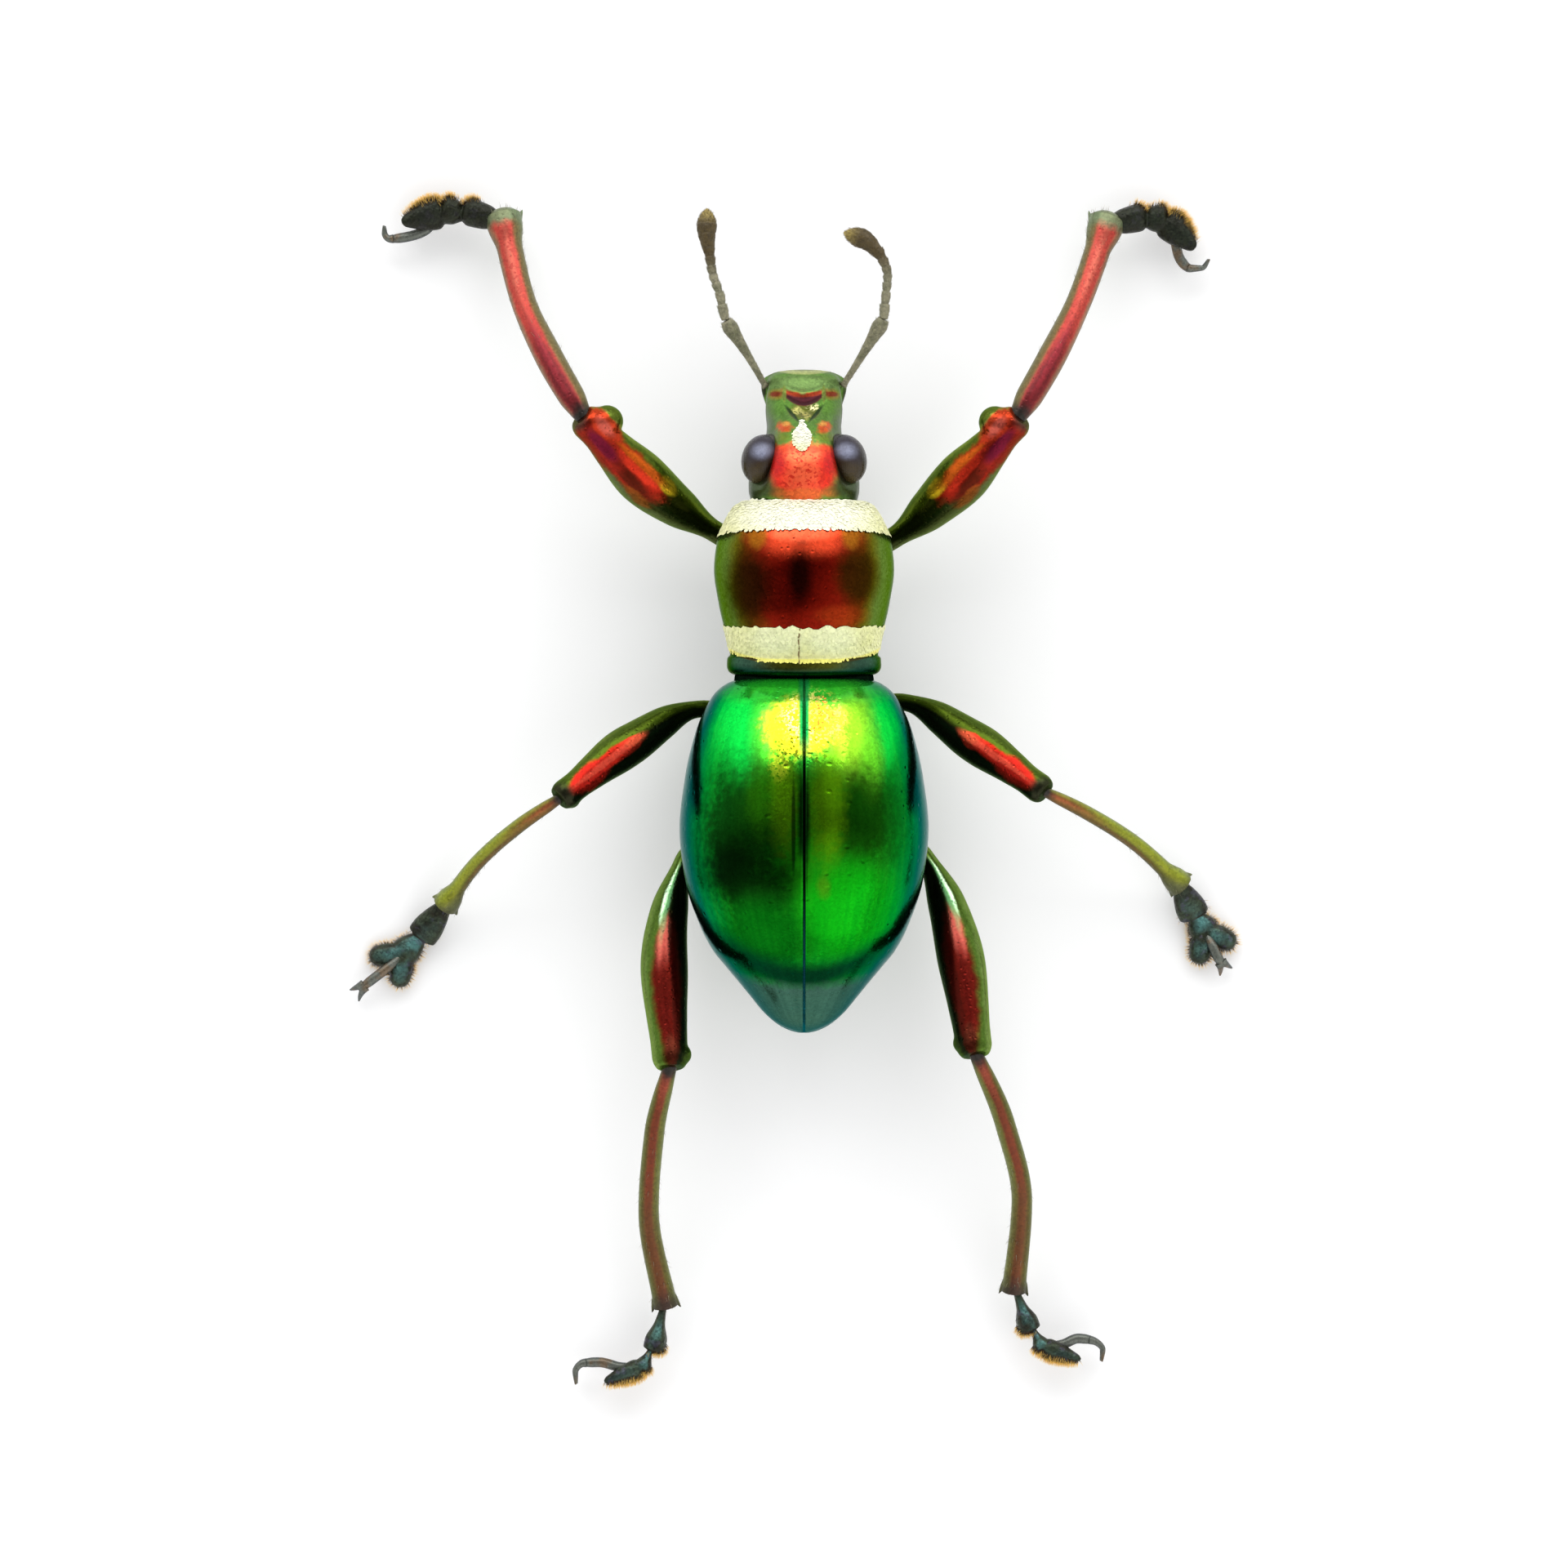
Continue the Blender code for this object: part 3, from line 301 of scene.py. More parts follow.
LEG_POSES = (
    LegPose("front", "left",
            femur=((0.62, -2.65, 1.25), (1.85, -3.30, 1.45), (3.40, -4.36, 2.20), (5.00, -5.96, 3.15)),
            knob=(4.44, -5.85, 2.94),
            tibia=((5.78, -7.36, 2.48), (6.38, -8.68, 1.72), (6.84, -10.56, 0.78)),
            joints=((7.44, -10.62, 0.66), (8.00, -10.66, 0.65)),
            pad_tip=(9.06, -10.44, 0.64),
            claw=((8.60, -10.27, 0.62), (9.06, -10.12, 0.60), (9.42, -10.08, 0.57), (9.54, -10.20, 0.54),
                  (9.55, -10.38, 0.52)),
            sole=(0.0, -1.0, 0.0)),
    LegPose("front", "right",
            femur=((0.62, -2.65, 1.25), (1.94, -3.20, 1.45), (3.34, -4.36, 2.20), (4.84, -5.96, 3.15)),
            knob=(4.30, -5.83, 2.94),
            tibia=((5.64, -7.40, 2.48), (6.27, -8.70, 1.72), (6.90, -10.48, 0.78)),
            joints=((7.44, -10.54, 0.66), (7.98, -10.50, 0.65)),
            pad_tip=(8.86, -9.84, 0.64),
            claw=((8.44, -10.02, 0.62), (8.54, -9.66, 0.60), (8.80, -9.41, 0.57), (9.06, -9.42, 0.54),
                  (9.22, -9.62, 0.52)),
            sole=(0.45, -0.89, 0.0)),
    LegPose("middle", "left",
            femur=((0.90, 0.85, 1.20), (2.29, 0.62, 1.42), (3.92, 1.43, 2.20), (5.52, 2.66, 3.05)),
            knob=(5.26, 2.66, 2.88),
            tibia=((6.48, 3.30, 2.36), (7.42, 4.12, 1.50), (8.16, 5.08, 0.62)),
            joints=((8.46, 5.56, 0.29), (8.93, 6.00, 0.27)),
            pad_tip=(9.58, 6.62, 0.27),
            claw=((9.44, 6.48, 0.44), (9.78, 6.74, 0.46), (10.06, 6.96, 0.42), (10.16, 7.05, 0.32),
                  (10.24, 7.14, 0.20)),
            sole=(0.0, 0.0, -1.0)),
    LegPose("middle", "right",
            femur=((0.90, 0.85, 1.20), (2.13, 0.46, 1.42), (3.86, 1.38, 2.20), (5.44, 2.52, 3.05)),
            knob=(5.20, 2.49, 2.88),
            tibia=((6.42, 2.99, 2.36), (7.50, 3.66, 1.50), (8.58, 4.62, 0.62)),
            joints=((8.76, 5.10, 0.29), (9.02, 5.50, 0.27)),
            pad_tip=(9.42, 6.23, 0.27),
            claw=((9.32, 6.04, 0.44), (9.42, 6.26, 0.46), (9.52, 6.42, 0.42), (9.57, 6.50, 0.32),
                  (9.62, 6.60, 0.20)),
            sole=(0.0, 0.0, -1.0)),
    LegPose("hind", "left",
            femur=((1.22, 3.24, 1.20), (2.70, 4.04, 1.42), (3.16, 6.30, 2.25), (3.00, 8.72, 3.15)),
            knob=(2.78, 8.42, 3.00),
            tibia=((3.38, 10.20, 2.44), (3.52, 12.00, 1.56), (3.14, 14.20, 0.78)),
            joints=((3.27, 14.86, 0.66), (3.58, 15.36, 0.65)),
            pad_tip=(4.52, 15.88, 0.64),
            claw=((4.16, 15.58, 0.62), (4.66, 15.48, 0.60), (5.02, 15.50, 0.57), (5.20, 15.70, 0.54),
                  (5.18, 15.98, 0.52)),
            sole=(-0.30, 0.95, 0.0)),
    LegPose("hind", "right",
            femur=((1.22, 3.24, 1.20), (2.66, 3.90, 1.42), (3.48, 5.96, 2.25), (3.86, 8.44, 3.15)),
            knob=(3.60, 8.16, 3.00),
            tibia=((4.54, 10.00, 2.44), (4.94, 11.80, 1.56), (4.77, 13.86, 0.78)),
            joints=((5.00, 14.42, 0.66), (5.32, 14.90, 0.65)),
            pad_tip=(6.22, 15.36, 0.64),
            claw=((5.90, 15.06, 0.62), (6.24, 14.94, 0.60), (6.58, 14.99, 0.57), (6.80, 15.20, 0.54),
                  (6.77, 15.46, 0.52)),
            sole=(-0.30, 0.95, 0.0)),
)

# Profiles of the limbs: shares of the length, and half widths as shares of the widest
FEMUR_SHARES = (0.0, 0.28, 0.45, 0.65, 0.82, 0.91, 0.97, 1.0)
TIBIA_SHARES = (0.0, 0.04, 0.12, 0.3, 0.6, 0.85, 0.95, 1.0)
JOINT_SHARES = (0.0, 0.12, 0.45, 0.8, 0.95, 1.0)
LOBE_SHARES = (0.0, 0.2, 0.5, 0.8, 0.95, 1.0)
# Reach of the turquoise highlights round the two joints and the pad
SHEEN_REACHES = (0.30, 0.26, 0.50)
# Reach of the fringe round the joints' soles, and how fast it thickens there
FRINGE_REACHES, FRINGE_RISE = (0.22, 0.20), 2.5
# Claws: widths along the stem, half widths of stem, claws and spurs
STEM_PROFILE = (0.75, 0.85, 1.0, 1.0, 0.55)
STEM_HALF = 0.115
CLAW_HALF = 0.10
SPUR_HALF = 0.07
# Swelling at a front shin's end, and how far back it sits
CAP_RADII, CAP_BACK = (0.40, 0.37, 0.25), 0.06
# Spurs: root and tip, out from the shin and along it, and their taper
SPUR_ROOT, SPUR_TIP = (0.72, 0.8), (0.7, 0.35)
SPUR_TAPER, SPUR_TAPER_POWER = (1.4, 0.15, 8), 0.8
# Depth of the thighs and shins as a share of their width
FEMUR_DEPTH, TIBIA_DEPTH = 0.92, 0.88
# A thigh's ring and knob: points of its path, and sizes as shares
RING_PLACES, RING_SHARE = (4, 7), 0.52
KNOB_PLACE, KNOB_ROOT_SHARE = 56, 1.02
# How much narrower a shin is just before its flared end
FLARE_START = 0.94
# Shin hairs: start, how fast they thicken, and their share on the outer side
SHIN_HAIR_START, SHIN_HAIR_RISE, SHIN_HAIR_LEAST = 0.1, 1.2, 0.25
# Points along each kind of path
FEMUR_POINTS, TIBIA_POINTS, FOOT_POINTS, CLAW_POINTS = 60, 70, 24, 60
SCAPE_POINTS, LASH_POINTS, CLUB_POINTS = 40, 200, 60
# How far a shin starts inside its thigh, and a foot inside its shin
INSIDE = 0.10
# A foot's seams behind its joints' middles, as shares of the way between these
FIRST_JOINT_SEAM, SECOND_JOINT_SEAM = 0.55, 0.45
# Overlap of the second joint and of the lobes, and how far the lobes sink
JOINT_OVERLAP, LOBE_OVERLAP, LOBE_SINK = 0.05, 0.08, 0.10

# The photo's frame: its width in millimetres and its middle, measured from the waist
FRAME_WIDTH = 35.39
FRAME_MIDDLE = (0.452, 2.323)
OUTLINE_LEVEL = 2.6
LENS = 250.0
SENSOR = 36.0


def smooth(keys, values, at):
    """Reads a curve that passes through the values at their keys and never overshoots them."""
    keys = np.asarray(keys, float)
    values = np.asarray(values, float)
    slopes = np.diff(values, axis=0) / np.diff(keys)[:, None]
    before, after = slopes[:-1], slopes[1:]
    inner = np.zeros_like(before)
    same_way = before * after > 0
    inner[same_way] = 2 * (before * after)[same_way] / (before + after)[same_way]
    tangents = np.vstack((slopes[:1], inner, slopes[-1:]))
    place = np.clip(np.searchsorted(keys, at, side="right") - 1, 0, len(keys) - 2)
    span = (keys[place + 1] - keys[place])[:, None]
    t = (np.asarray(at) - keys[place])[:, None] / span
    start = (2 * t**3 - 3 * t**2 + 1) * values[place] + (t**3 - 2 * t**2 + t) * span * tangents[place]
    end = (3 * t**2 - 2 * t**3) * values[place + 1] + (t**3 - t**2) * span * tangents[place + 1]
    return start + end


def profile(shares, values, count):
    """Values of a profile at evenly spaced shares of its length."""
    return smooth(shares, np.asarray(values, float)[:, None], np.linspace(0, 1, count))[:, 0]


def along_route(points, count):
    """Evenly spaced points of a smooth curve through the route's own points."""
    points = np.asarray(points, float)
    steps = np.linalg.norm(np.diff(points, axis=0), axis=1)
    keys = np.concatenate(([0.0], np.cumsum(steps)))
    return smooth(keys, points, np.linspace(0, keys[-1], count))


def unit(vectors):
    """Vectors of the same directions and length one."""
    vectors = np.asarray(vectors, float)
    return vectors / np.linalg.norm(vectors, axis=-1, keepdims=True)


def side_sign(side):
    """The sign of x on a side of the body."""
    return 1 if side == "left" else -1


def on_side(points, side):
    """Points given with x counted outward, placed on their own side of the body."""
    return np.array(points, float) * np.array((side_sign(side), 1, 1))


def linked(name, data):
    """A new object in the scene."""
    made = bpy.data.objects.new(name, data)
    bpy.context.scene.collection.objects.link(made)
    return made


def smooth_mesh(bm, name):
    """A smooth mesh of the surfaces that were being edited."""
    mesh = bpy.data.meshes.new(name)
    bm.to_mesh(mesh)
    bm.free()
    mesh.shade_smooth()
    return mesh


def new_object(name, points, faces):
    """A smooth object from points and faces, with its faces pointing out."""
    mesh = bpy.data.meshes.new(name)
    mesh.from_pydata(np.asarray(points).tolist(), [], faces)
    bm = bmesh.new()
    bm.from_mesh(mesh)
    bmesh.ops.recalc_face_normals(bm, faces=bm.faces)
    bm.to_mesh(mesh)
    bm.free()
    mesh.shade_smooth()
    return linked(name, mesh)


def add_values(made, name, values):
    """Stores one number or vector for each point of a mesh."""
    values = np.asarray(values, np.float32)
    kind, key = ("FLOAT", "value") if values.ndim == 1 else ("FLOAT_VECTOR", "vector")
    attribute = made.data.attributes.new(name, kind, "POINT")
    attribute.data.foreach_set(key, values.ravel())


def vectors_of(items, key):
    """One vector of each item of a mesh, such as its points or the values stored with them."""
    values = np.empty(len(items) * 3)
    items.foreach_get(key, values)
    return values.reshape(-1, 3)


def points_of(made):
    """The places of a mesh's points."""
    return vectors_of(made.data.vertices, "co")


def normals_of(made):
    """The directions that a mesh's points face."""
    return vectors_of(made.data.vertices, "normal")


def move_points(made, places):
    """Sets the places of a mesh's points."""
    made.data.vertices.foreach_set("co", np.asarray(places, float).ravel())
    made.data.update()


def tube(name, rings):
    """A closed surface through rings of points, with a fan at each end."""
    rings = np.asarray(rings, float)
    rows, count = rings.shape[:2]
    places = np.vstack((rings.reshape(-1, 3), rings[0].mean(axis=0), rings[-1].mean(axis=0)))
    here = np.arange(rows * count).reshape(rows, count)
    beside = np.roll(here, -1, axis=1)
    quads = np.stack((here[:-1], beside[:-1], beside[1:], here[1:]), axis=-1).reshape(-1, 4)
    first, last = rows * count, rows * count + 1
    fans = [(first, b, a) for a, b in zip(here[0].tolist(), beside[0].tolist())]
    fans += [(last, a, b) for a, b in zip(here[-1].tolist(), beside[-1].tolist())]
    made = new_object(name, places, quads.tolist() + fans)
    along = np.repeat(np.linspace(0, 1, rows), count)
    turn = np.tile(np.arange(count) / count, rows)
    add_values(made, "along", np.concatenate((along, (0.0, 1.0))))
    add_values(made, "turn", np.concatenate((turn, (0.5, 0.5))))
    return made


def sheet(name, grid):
    """An open surface through a grid of points, with its place on the grid kept for the bake map."""
    rows, count = grid.shape[:2]
    here = np.arange(rows * count).reshape(rows, count)
    quads = np.stack((here[:-1, :-1], here[:-1, 1:], here[1:, 1:], here[1:, :-1]), axis=-1).reshape(-1, 4)
    made = new_object(name, grid.reshape(-1, 3), quads.tolist())
    u, v = np.meshgrid(np.linspace(0, 1, count), np.linspace(0, 1, rows))
    add_values(made, "root", np.stack((u.ravel(), v.ravel(), np.zeros(u.size)), axis=-1))
    return made


def signed_power(values, power):
    """A power of each value's size, with the value's own sign."""
    return np.sign(values) * np.abs(values) ** power


def body_rings(rows, places, angles, powers, lift=0.0):
    """Rings across a body that runs along Y, rounder above or below by its two powers."""
    rows = np.asarray(rows, float)
    places = np.asarray(places, float)
    half, top, widest, bottom = smooth(rows[:, 0], rows[:, 1:], places).T[:, :, None]
    angles = np.broadcast_to(angles, (len(places), np.shape(angles)[-1]))
    over = np.sin(angles) > 0
    power = 2 / np.where(over, *powers)
    reach = np.where(over, top - widest, widest - bottom) + lift
    x = (half + lift) * signed_power(np.cos(angles), power)
    z = widest + reach * signed_power(np.sin(angles), power)
    return np.stack((x, np.broadcast_to(places[:, None], x.shape), z), axis=-1)


def even_angles(count):
    """Angles round a ring from its lowest point."""
    return np.arange(count) * 2 * math.pi / count - math.pi / 2


def crowded_places(first, last, count):
    """Places along a body, closer together near its ends."""
    return first + (last - first) * (1 - np.cos(np.linspace(0, math.pi, count))) / 2


def sweep(name, path, half_widths, half_depths, up=UP, sides=28, power=2.0):
    """A closed surface with oval rings square to its path."""
    path = np.asarray(path, float)
    ahead = unit(np.gradient(path, axis=0))
    across = unit(np.cross(ahead, up))
    over = np.cross(across, ahead)
    angles = even_angles(sides)
    sideways = signed_power(np.cos(angles), 2 / power)[None, :, None]
    upward = signed_power(np.sin(angles), 2 / power)[None, :, None]
    wide = np.asarray(half_widths, float)[:, None, None] * sideways * across[:, None, :]
    deep = np.asarray(half_depths, float)[:, None, None] * upward * over[:, None, :]
    return tube(name, path[:, None, :] + wide + deep)


def ball(name, centre, radii, turn=None, fineness=4):
    """An ellipsoid, turned about its own centre."""
    bm = bmesh.new()
    place = Matrix.Translation(Vector(centre)) @ (turn or Matrix.Identity(4)) @ Matrix.Diagonal((*radii, 1))
    bmesh.ops.create_icosphere(bm, subdivisions=fineness, radius=1, matrix=place)
    return linked(name, smooth_mesh(bm, name))


def drop(made):
    """Removes an object and its mesh."""
    mesh = made.data
    bpy.data.objects.remove(made, do_unlink=True)
    bpy.data.meshes.remove(mesh)


def evaluated_mesh(made):
    """The mesh that an object's modifiers make."""
    return bpy.data.meshes.new_from_object(made.evaluated_get(bpy.context.evaluated_depsgraph_get()))


def joined(name, parts):
    """One object that holds the surfaces of several, which are removed."""
    bm = bmesh.new()
    for part in parts:
        bm.from_mesh(part.data)
    mesh = smooth_mesh(bm, name)
    for part in parts:
        drop(part)
    return linked(name, mesh)


def melted(name, parts, voxel, rounds):
    """One even skin round several closed surfaces, rounded where they meet."""
    made = joined(name, parts)
    remesh = made.modifiers.new("skin", "REMESH")
    remesh.mode = "VOXEL"
    remesh.voxel_size = voxel
    soften = made.modifiers.new("soften", "SMOOTH")
    soften.factor = 0.5
    soften.iterations = rounds
    mesh = evaluated_mesh(made)
    made.modifiers.clear()
    old = made.data
    made.data = mesh
    bpy.data.meshes.remove(old)
    mesh.name = name
    mesh.shade_smooth()
    return made


def mark_along(made, path, halves, front, up=UP):
    """Stores how far along and across its path each point is, the comb direction, and its bake map place."""
    places = points_of(made)
    path = np.asarray(path, float)
    nearest = np.argmin(((places[:, None, :] - path[None, :, :]) ** 2).sum(axis=2), axis=1)
    ahead = unit(np.gradient(path, axis=0))
    step = np.linalg.norm(np.gradient(path, axis=0), axis=1)
    off = places - path[nearest]
    along = (nearest + np.einsum("ij,ij->i", off, ahead[nearest]) / step[nearest]) / (len(path) - 1)
    across = unit(np.cross(ahead, up))
    across = across * math.copysign(1, across.mean(axis=0) @ np.asarray(front, float))
    over = np.cross(across, ahead)
    sideways = np.einsum("ij,ij->i", off, across[nearest])
    turn = np.arctan2(np.einsum("ij,ij->i", off, over[nearest]), sideways) / (2 * math.pi) + 0.5
    for name in ("along", "turn"):
        if name in made.data.attributes:
            made.data.attributes.remove(made.data.attributes[name])
    add_values(made, "along", along)
    add_values(made, "side", sideways / np.asarray(halves)[nearest])
    add_values(made, "comb", ahead[nearest])
    add_values(made, "root", np.stack((turn, np.clip(along, 0, 1), np.zeros(len(along))), axis=-1))


def hill(places, middle, reach, bend=0.0, slant=0.0):
    """A soft round rise of height one about a middle, bent along Y or slanting with it if wanted."""
    off = places - np.array(middle)
    off[:, 1] += bend * off[:, 0] ** 2
    off[:, 0] += slant * off[:, 1]
    return np.exp(-((off / np.array(reach)) ** 2).sum(axis=1))


def stand_on_floor(made):
    """Flattens what would reach below the floor."""
    places = points_of(made)
    places[:, 2] = np.maximum(places[:, 2], 0.0)
    move_points(made, places)


def opaque(colour):
    """A colour with its alpha added, if it isn't a socket."""
    return (*colour, 1) if isinstance(colour, tuple) else colour


class Nodes:
    """Adds nodes to one tree and joins them."""

    def __init__(self, tree):
        self.tree = tree

    def link(self, start, end):
        self.tree.links.new(start, end)

    def set_inputs(self, made, inputs):
        for key, value in inputs.items():
            if isinstance(value, bpy.types.NodeSocket):
                self.link(value, made.inputs[key])
            else:
                made.inputs[key].default_value = value

    def add(self, kind, inputs=None, **settings):
        made = self.tree.nodes.new(kind)
        for key, value in settings.items():
            setattr(made, key, value)
        self.set_inputs(made, inputs or {})
        return made

    def math(self, operation, *values):
        return self.add("ShaderNodeMath", dict(enumerate(values)), operation=operation).outputs[0]

    def times(self, first, second):
        return self.math("MULTIPLY", first, second)

    def plus(self, first, second):
        return self.math("ADD", first, second)

    def minus(self, first, second):
        return self.math("SUBTRACT", first, second)

    def vector(self, operation, *values):
        made = self.add("ShaderNodeVectorMath", dict(enumerate(values)), operation=operation)
        return made.outputs["Value" if operation in ("LENGTH", "DOT_PRODUCT") else "Vector"]

    def scaled(self, vector, factor):
        return self.add("ShaderNodeVectorMath", {0: vector, "Scale": factor}, operation="SCALE").outputs[0]

    def between(self, value, low, high):
        inputs = {0: value, 1: low, 2: high}
        return self.add("ShaderNodeMapRange", inputs, interpolation_type="SMOOTHSTEP").outputs[0]

    def below(self, value, low, high):
        return self.minus(1.0, self.between(value, low, high))

    def mix(self, factor, first, second, blend="MIX"):
        inputs = {0: factor, 6: opaque(first), 7: opaque(second)}
        return self.add("ShaderNodeMix", inputs, data_type="RGBA", blend_type=blend).outputs[2]

    def noise(self, place, scale, detail=2.0):
        return self.add("ShaderNodeTexNoise", {"Vector": place, "Scale": scale, "Detail": detail}).outputs[0]

    def split(self, vector):
        return self.add("ShaderNodeSeparateXYZ", {0: vector}).outputs

    def combine(self, x=0.0, y=0.0, z=0.0):
        return self.add("ShaderNodeCombineXYZ", {0: x, 1: y, 2: z}).outputs[0]

    def value_of(self, name):
        return self.add("ShaderNodeAttribute", attribute_name=name).outputs["Fac"]

    def vector_of(self, name):
        return self.add("ShaderNodeAttribute", attribute_name=name).outputs["Vector"]

    def patch(self, place, random, stroke):
        settings = {key: value for key, value in vars(stroke).items() if key != "colour"}
        return self.group("patch", place=place, random=random, **settings)[0]

    def pits(self, place, spacing, pit, scatter=0.9):
        return self.group("pits", place=place, spacing=spacing, pit=pit, scatter=scatter)[0]

    def ramp(self, factor, stops):
        made = self.add("ShaderNodeValToRGB", {0: factor})
        elements = made.color_ramp.elements
        elements.remove(elements[1])
        elements[0].position = stops[0][0]
        elements[0].color = opaque(stops[0][1])
        for place, colour in stops[1:]:
            elements.new(place).color = opaque(colour)
        return made.outputs[0]

    def group(self, name, **inputs):
        made = self.add("ShaderNodeGroup", node_tree=bpy.data.node_groups[name])
        self.set_inputs(made, {key.capitalize(): value for key, value in inputs.items()})
        return made.outputs


def shader_group(name, inputs, outputs):
    """A shader node group with named inputs and outputs, and the sockets inside it."""
    tree = bpy.data.node_groups.new(name, "ShaderNodeTree")
    for label, kind, value in inputs:
        socket = tree.interface.new_socket(label, in_out="INPUT", socket_type=kind)
        socket.default_value = value
    for label, kind in outputs:
        tree.interface.new_socket(label, in_out="OUTPUT", socket_type=kind)
    nodes = Nodes(tree)
    return nodes, nodes.add("NodeGroupInput").outputs, nodes.add("NodeGroupOutput").inputs


VALUE, VECTOR = "NodeSocketFloat", "NodeSocketVector"


def make_place_group():
    """Place on the animal in millimetres from the waist, and how far the surface faces up."""
    nodes, _, ends = shader_group("place", (), (("Place", VECTOR), ("X", VALUE), ("Y", VALUE), ("Up", VALUE)))
    metres = nodes.add("ShaderNodeTexCoord").outputs["Object"]
    place = nodes.scaled(nodes.vector("SUBTRACT", metres, tuple(WAIST)), 1 / MM)
    x, y, _ = nodes.split(place)
    up = nodes.split(nodes.add("ShaderNodeNewGeometry").outputs["Normal"])[2]
    for value, end in zip((place, x, y, up), ends):
        nodes.link(value, end)


def make_glitter_group():
    """Tiny facets that each lean their own way, as on a metallic cuticle."""
    nodes, starts, ends = shader_group("glitter", (
        ("Place", VECTOR, (0, 0, 0)), ("Cell", VALUE, 0.06), ("Lean", VALUE, 0.2)),
        (("Normal", VECTOR), ("Random", VALUE)))
    scale = nodes.math("DIVIDE", 1.0, starts["Cell"])
    cells = nodes.add("ShaderNodeTexVoronoi", {"Vector": starts["Place"], "Scale": scale}).outputs["Color"]
    lean = nodes.scaled(nodes.vector("SUBTRACT", cells, (0.5, 0.5, 0.5)), starts["Lean"])
    facing = nodes.add("ShaderNodeNewGeometry").outputs["Normal"]
    nodes.link(nodes.vector("NORMALIZE", nodes.vector("ADD", facing, lean)), ends["Normal"])
    nodes.link(nodes.split(cells)[0], ends["Random"])


@dataclass
class Stroke:
    """One soft patch of colour: its middle and reach, how soft, ragged and bent it is, and how strong."""
    middle: tuple
    reach: tuple
    colour: tuple
    strength: float = 1.0
    edge: float = 0.45
    ragged: float = 0.4
    bend: float = 0.0
    grain: float = 0.0
    slant: float = 0.0


def mirrored(*strokes):
    """The same strokes on both sides of the body."""
    other = [replace(stroke, middle=(-stroke.middle[0], *stroke.middle[1:]), slant=-stroke.slant)
             for stroke in strokes]
    return (*strokes, *other)


# Ragged edges of strokes: scale and detail of their noise, and softness of the facets left out
RAGGED_SCALE, RAGGED_DETAIL, GRAIN_SOFTNESS = 6.0, 4.0, 0.3


def make_patch_group():
    """A soft oval mask about a middle, with a ragged edge and, if wanted, bent along its second axis."""
    nodes, starts, ends = shader_group("patch", (
        ("Place", VECTOR, (0, 0, 0)), ("Middle", VECTOR, (0, 0, 0)), ("Reach", VECTOR, (1, 1, 1)),
        ("Edge", VALUE, 0.4), ("Ragged", VALUE, 0.0), ("Bend", VALUE, 0.0), ("Strength", VALUE, 1.0),
        ("Grain", VALUE, 0.0), ("Slant", VALUE, 0.0), ("Random", VALUE, 1.0)), (("Mask", VALUE),))
    x, y, z = nodes.split(nodes.vector("SUBTRACT", starts["Place"], starts["Middle"]))
    y = nodes.plus(y, nodes.times(starts["Bend"], nodes.times(x, x)))
    x = nodes.plus(x, nodes.times(starts["Slant"], y))
    far = nodes.vector("LENGTH", nodes.vector("DIVIDE", nodes.combine(x, y, z), starts["Reach"]))
    speckle = nodes.minus(nodes.noise(nodes.group("place")["Place"], RAGGED_SCALE, RAGGED_DETAIL), 0.5)
    far = nodes.plus(far, nodes.times(speckle, starts["Ragged"]))
    mask = nodes.below(far, nodes.minus(1.0, starts["Edge"]), nodes.plus(1.0, starts["Edge"]))
    left_out = nodes.between(starts["Random"], nodes.minus(starts["Grain"], GRAIN_SOFTNESS), starts["Grain"])
    nodes.link(nodes.times(nodes.times(mask, left_out), starts["Strength"]), ends["Mask"])


def make_pits_group():
    """Height of a surface with round pits: 0 in a pit and 1 between them."""
    nodes, starts, ends = shader_group("pits", (
        ("Place", VECTOR, (0, 0, 0)), ("Spacing", VALUE, 0.2), ("Pit", VALUE, 0.3),
        ("Scatter", VALUE, 0.8)), (("Height", VALUE),))
    far = nodes.add("ShaderNodeTexVoronoi", {
        "Vector": starts["Place"], "Scale": nodes.math("DIVIDE", 1.0, starts["Spacing"]),
        "Randomness": starts["Scatter"]}).outputs["Distance"]
    nodes.link(nodes.between(far, 0.0, starts["Pit"]), ends["Height"])


@dataclass
class Finish:
    """How a surface shines: roughness, metallic share, size and lean of facets, and where it is less metallic."""
    roughness: float = 0.3
    metallic: float = 0.0
    cell: float = 0.05
    lean: float = 0.05
    sparkle: Stroke = None
    fixed: dict = None
    waxy: Stroke = None


# How much the roughness changes from facet to facet
ROUGHNESS_SPREAD = 0.06


def new_material(name, colour_of, finish):
    """A material whose colour and relief come from a function of its nodes."""
    material = bpy.data.materials.new(name)
    material.use_nodes = True
    nodes = Nodes(material.node_tree)
    shader = material.node_tree.nodes["Principled BSDF"]
    place = nodes.group("place")
    lean = finish.lean
    if finish.sparkle:
        lean = nodes.plus(finish.lean, nodes.patch(place["Place"], 1.0, finish.sparkle))
    glitter = nodes.group("glitter", place=place["Place"], cell=finish.cell, lean=lean)
    colour, height, depth = colour_of(nodes, place, glitter["Random"])
    bump = nodes.add("ShaderNodeBump", {"Height": height, "Distance": depth * MM, "Normal": glitter["Normal"]})
    rough = nodes.plus(finish.roughness - ROUGHNESS_SPREAD / 2, nodes.times(glitter["Random"], ROUGHNESS_SPREAD))
    metallic = finish.metallic
    if finish.waxy:
        metallic = nodes.minus(finish.metallic, nodes.patch(place["Place"], 1.0, finish.waxy))
    nodes.set_inputs(shader, {"Base Color": colour, "Normal": bump.outputs[0], "Roughness": rough,
                              "Metallic": metallic, **(finish.fixed or {})})
    return material


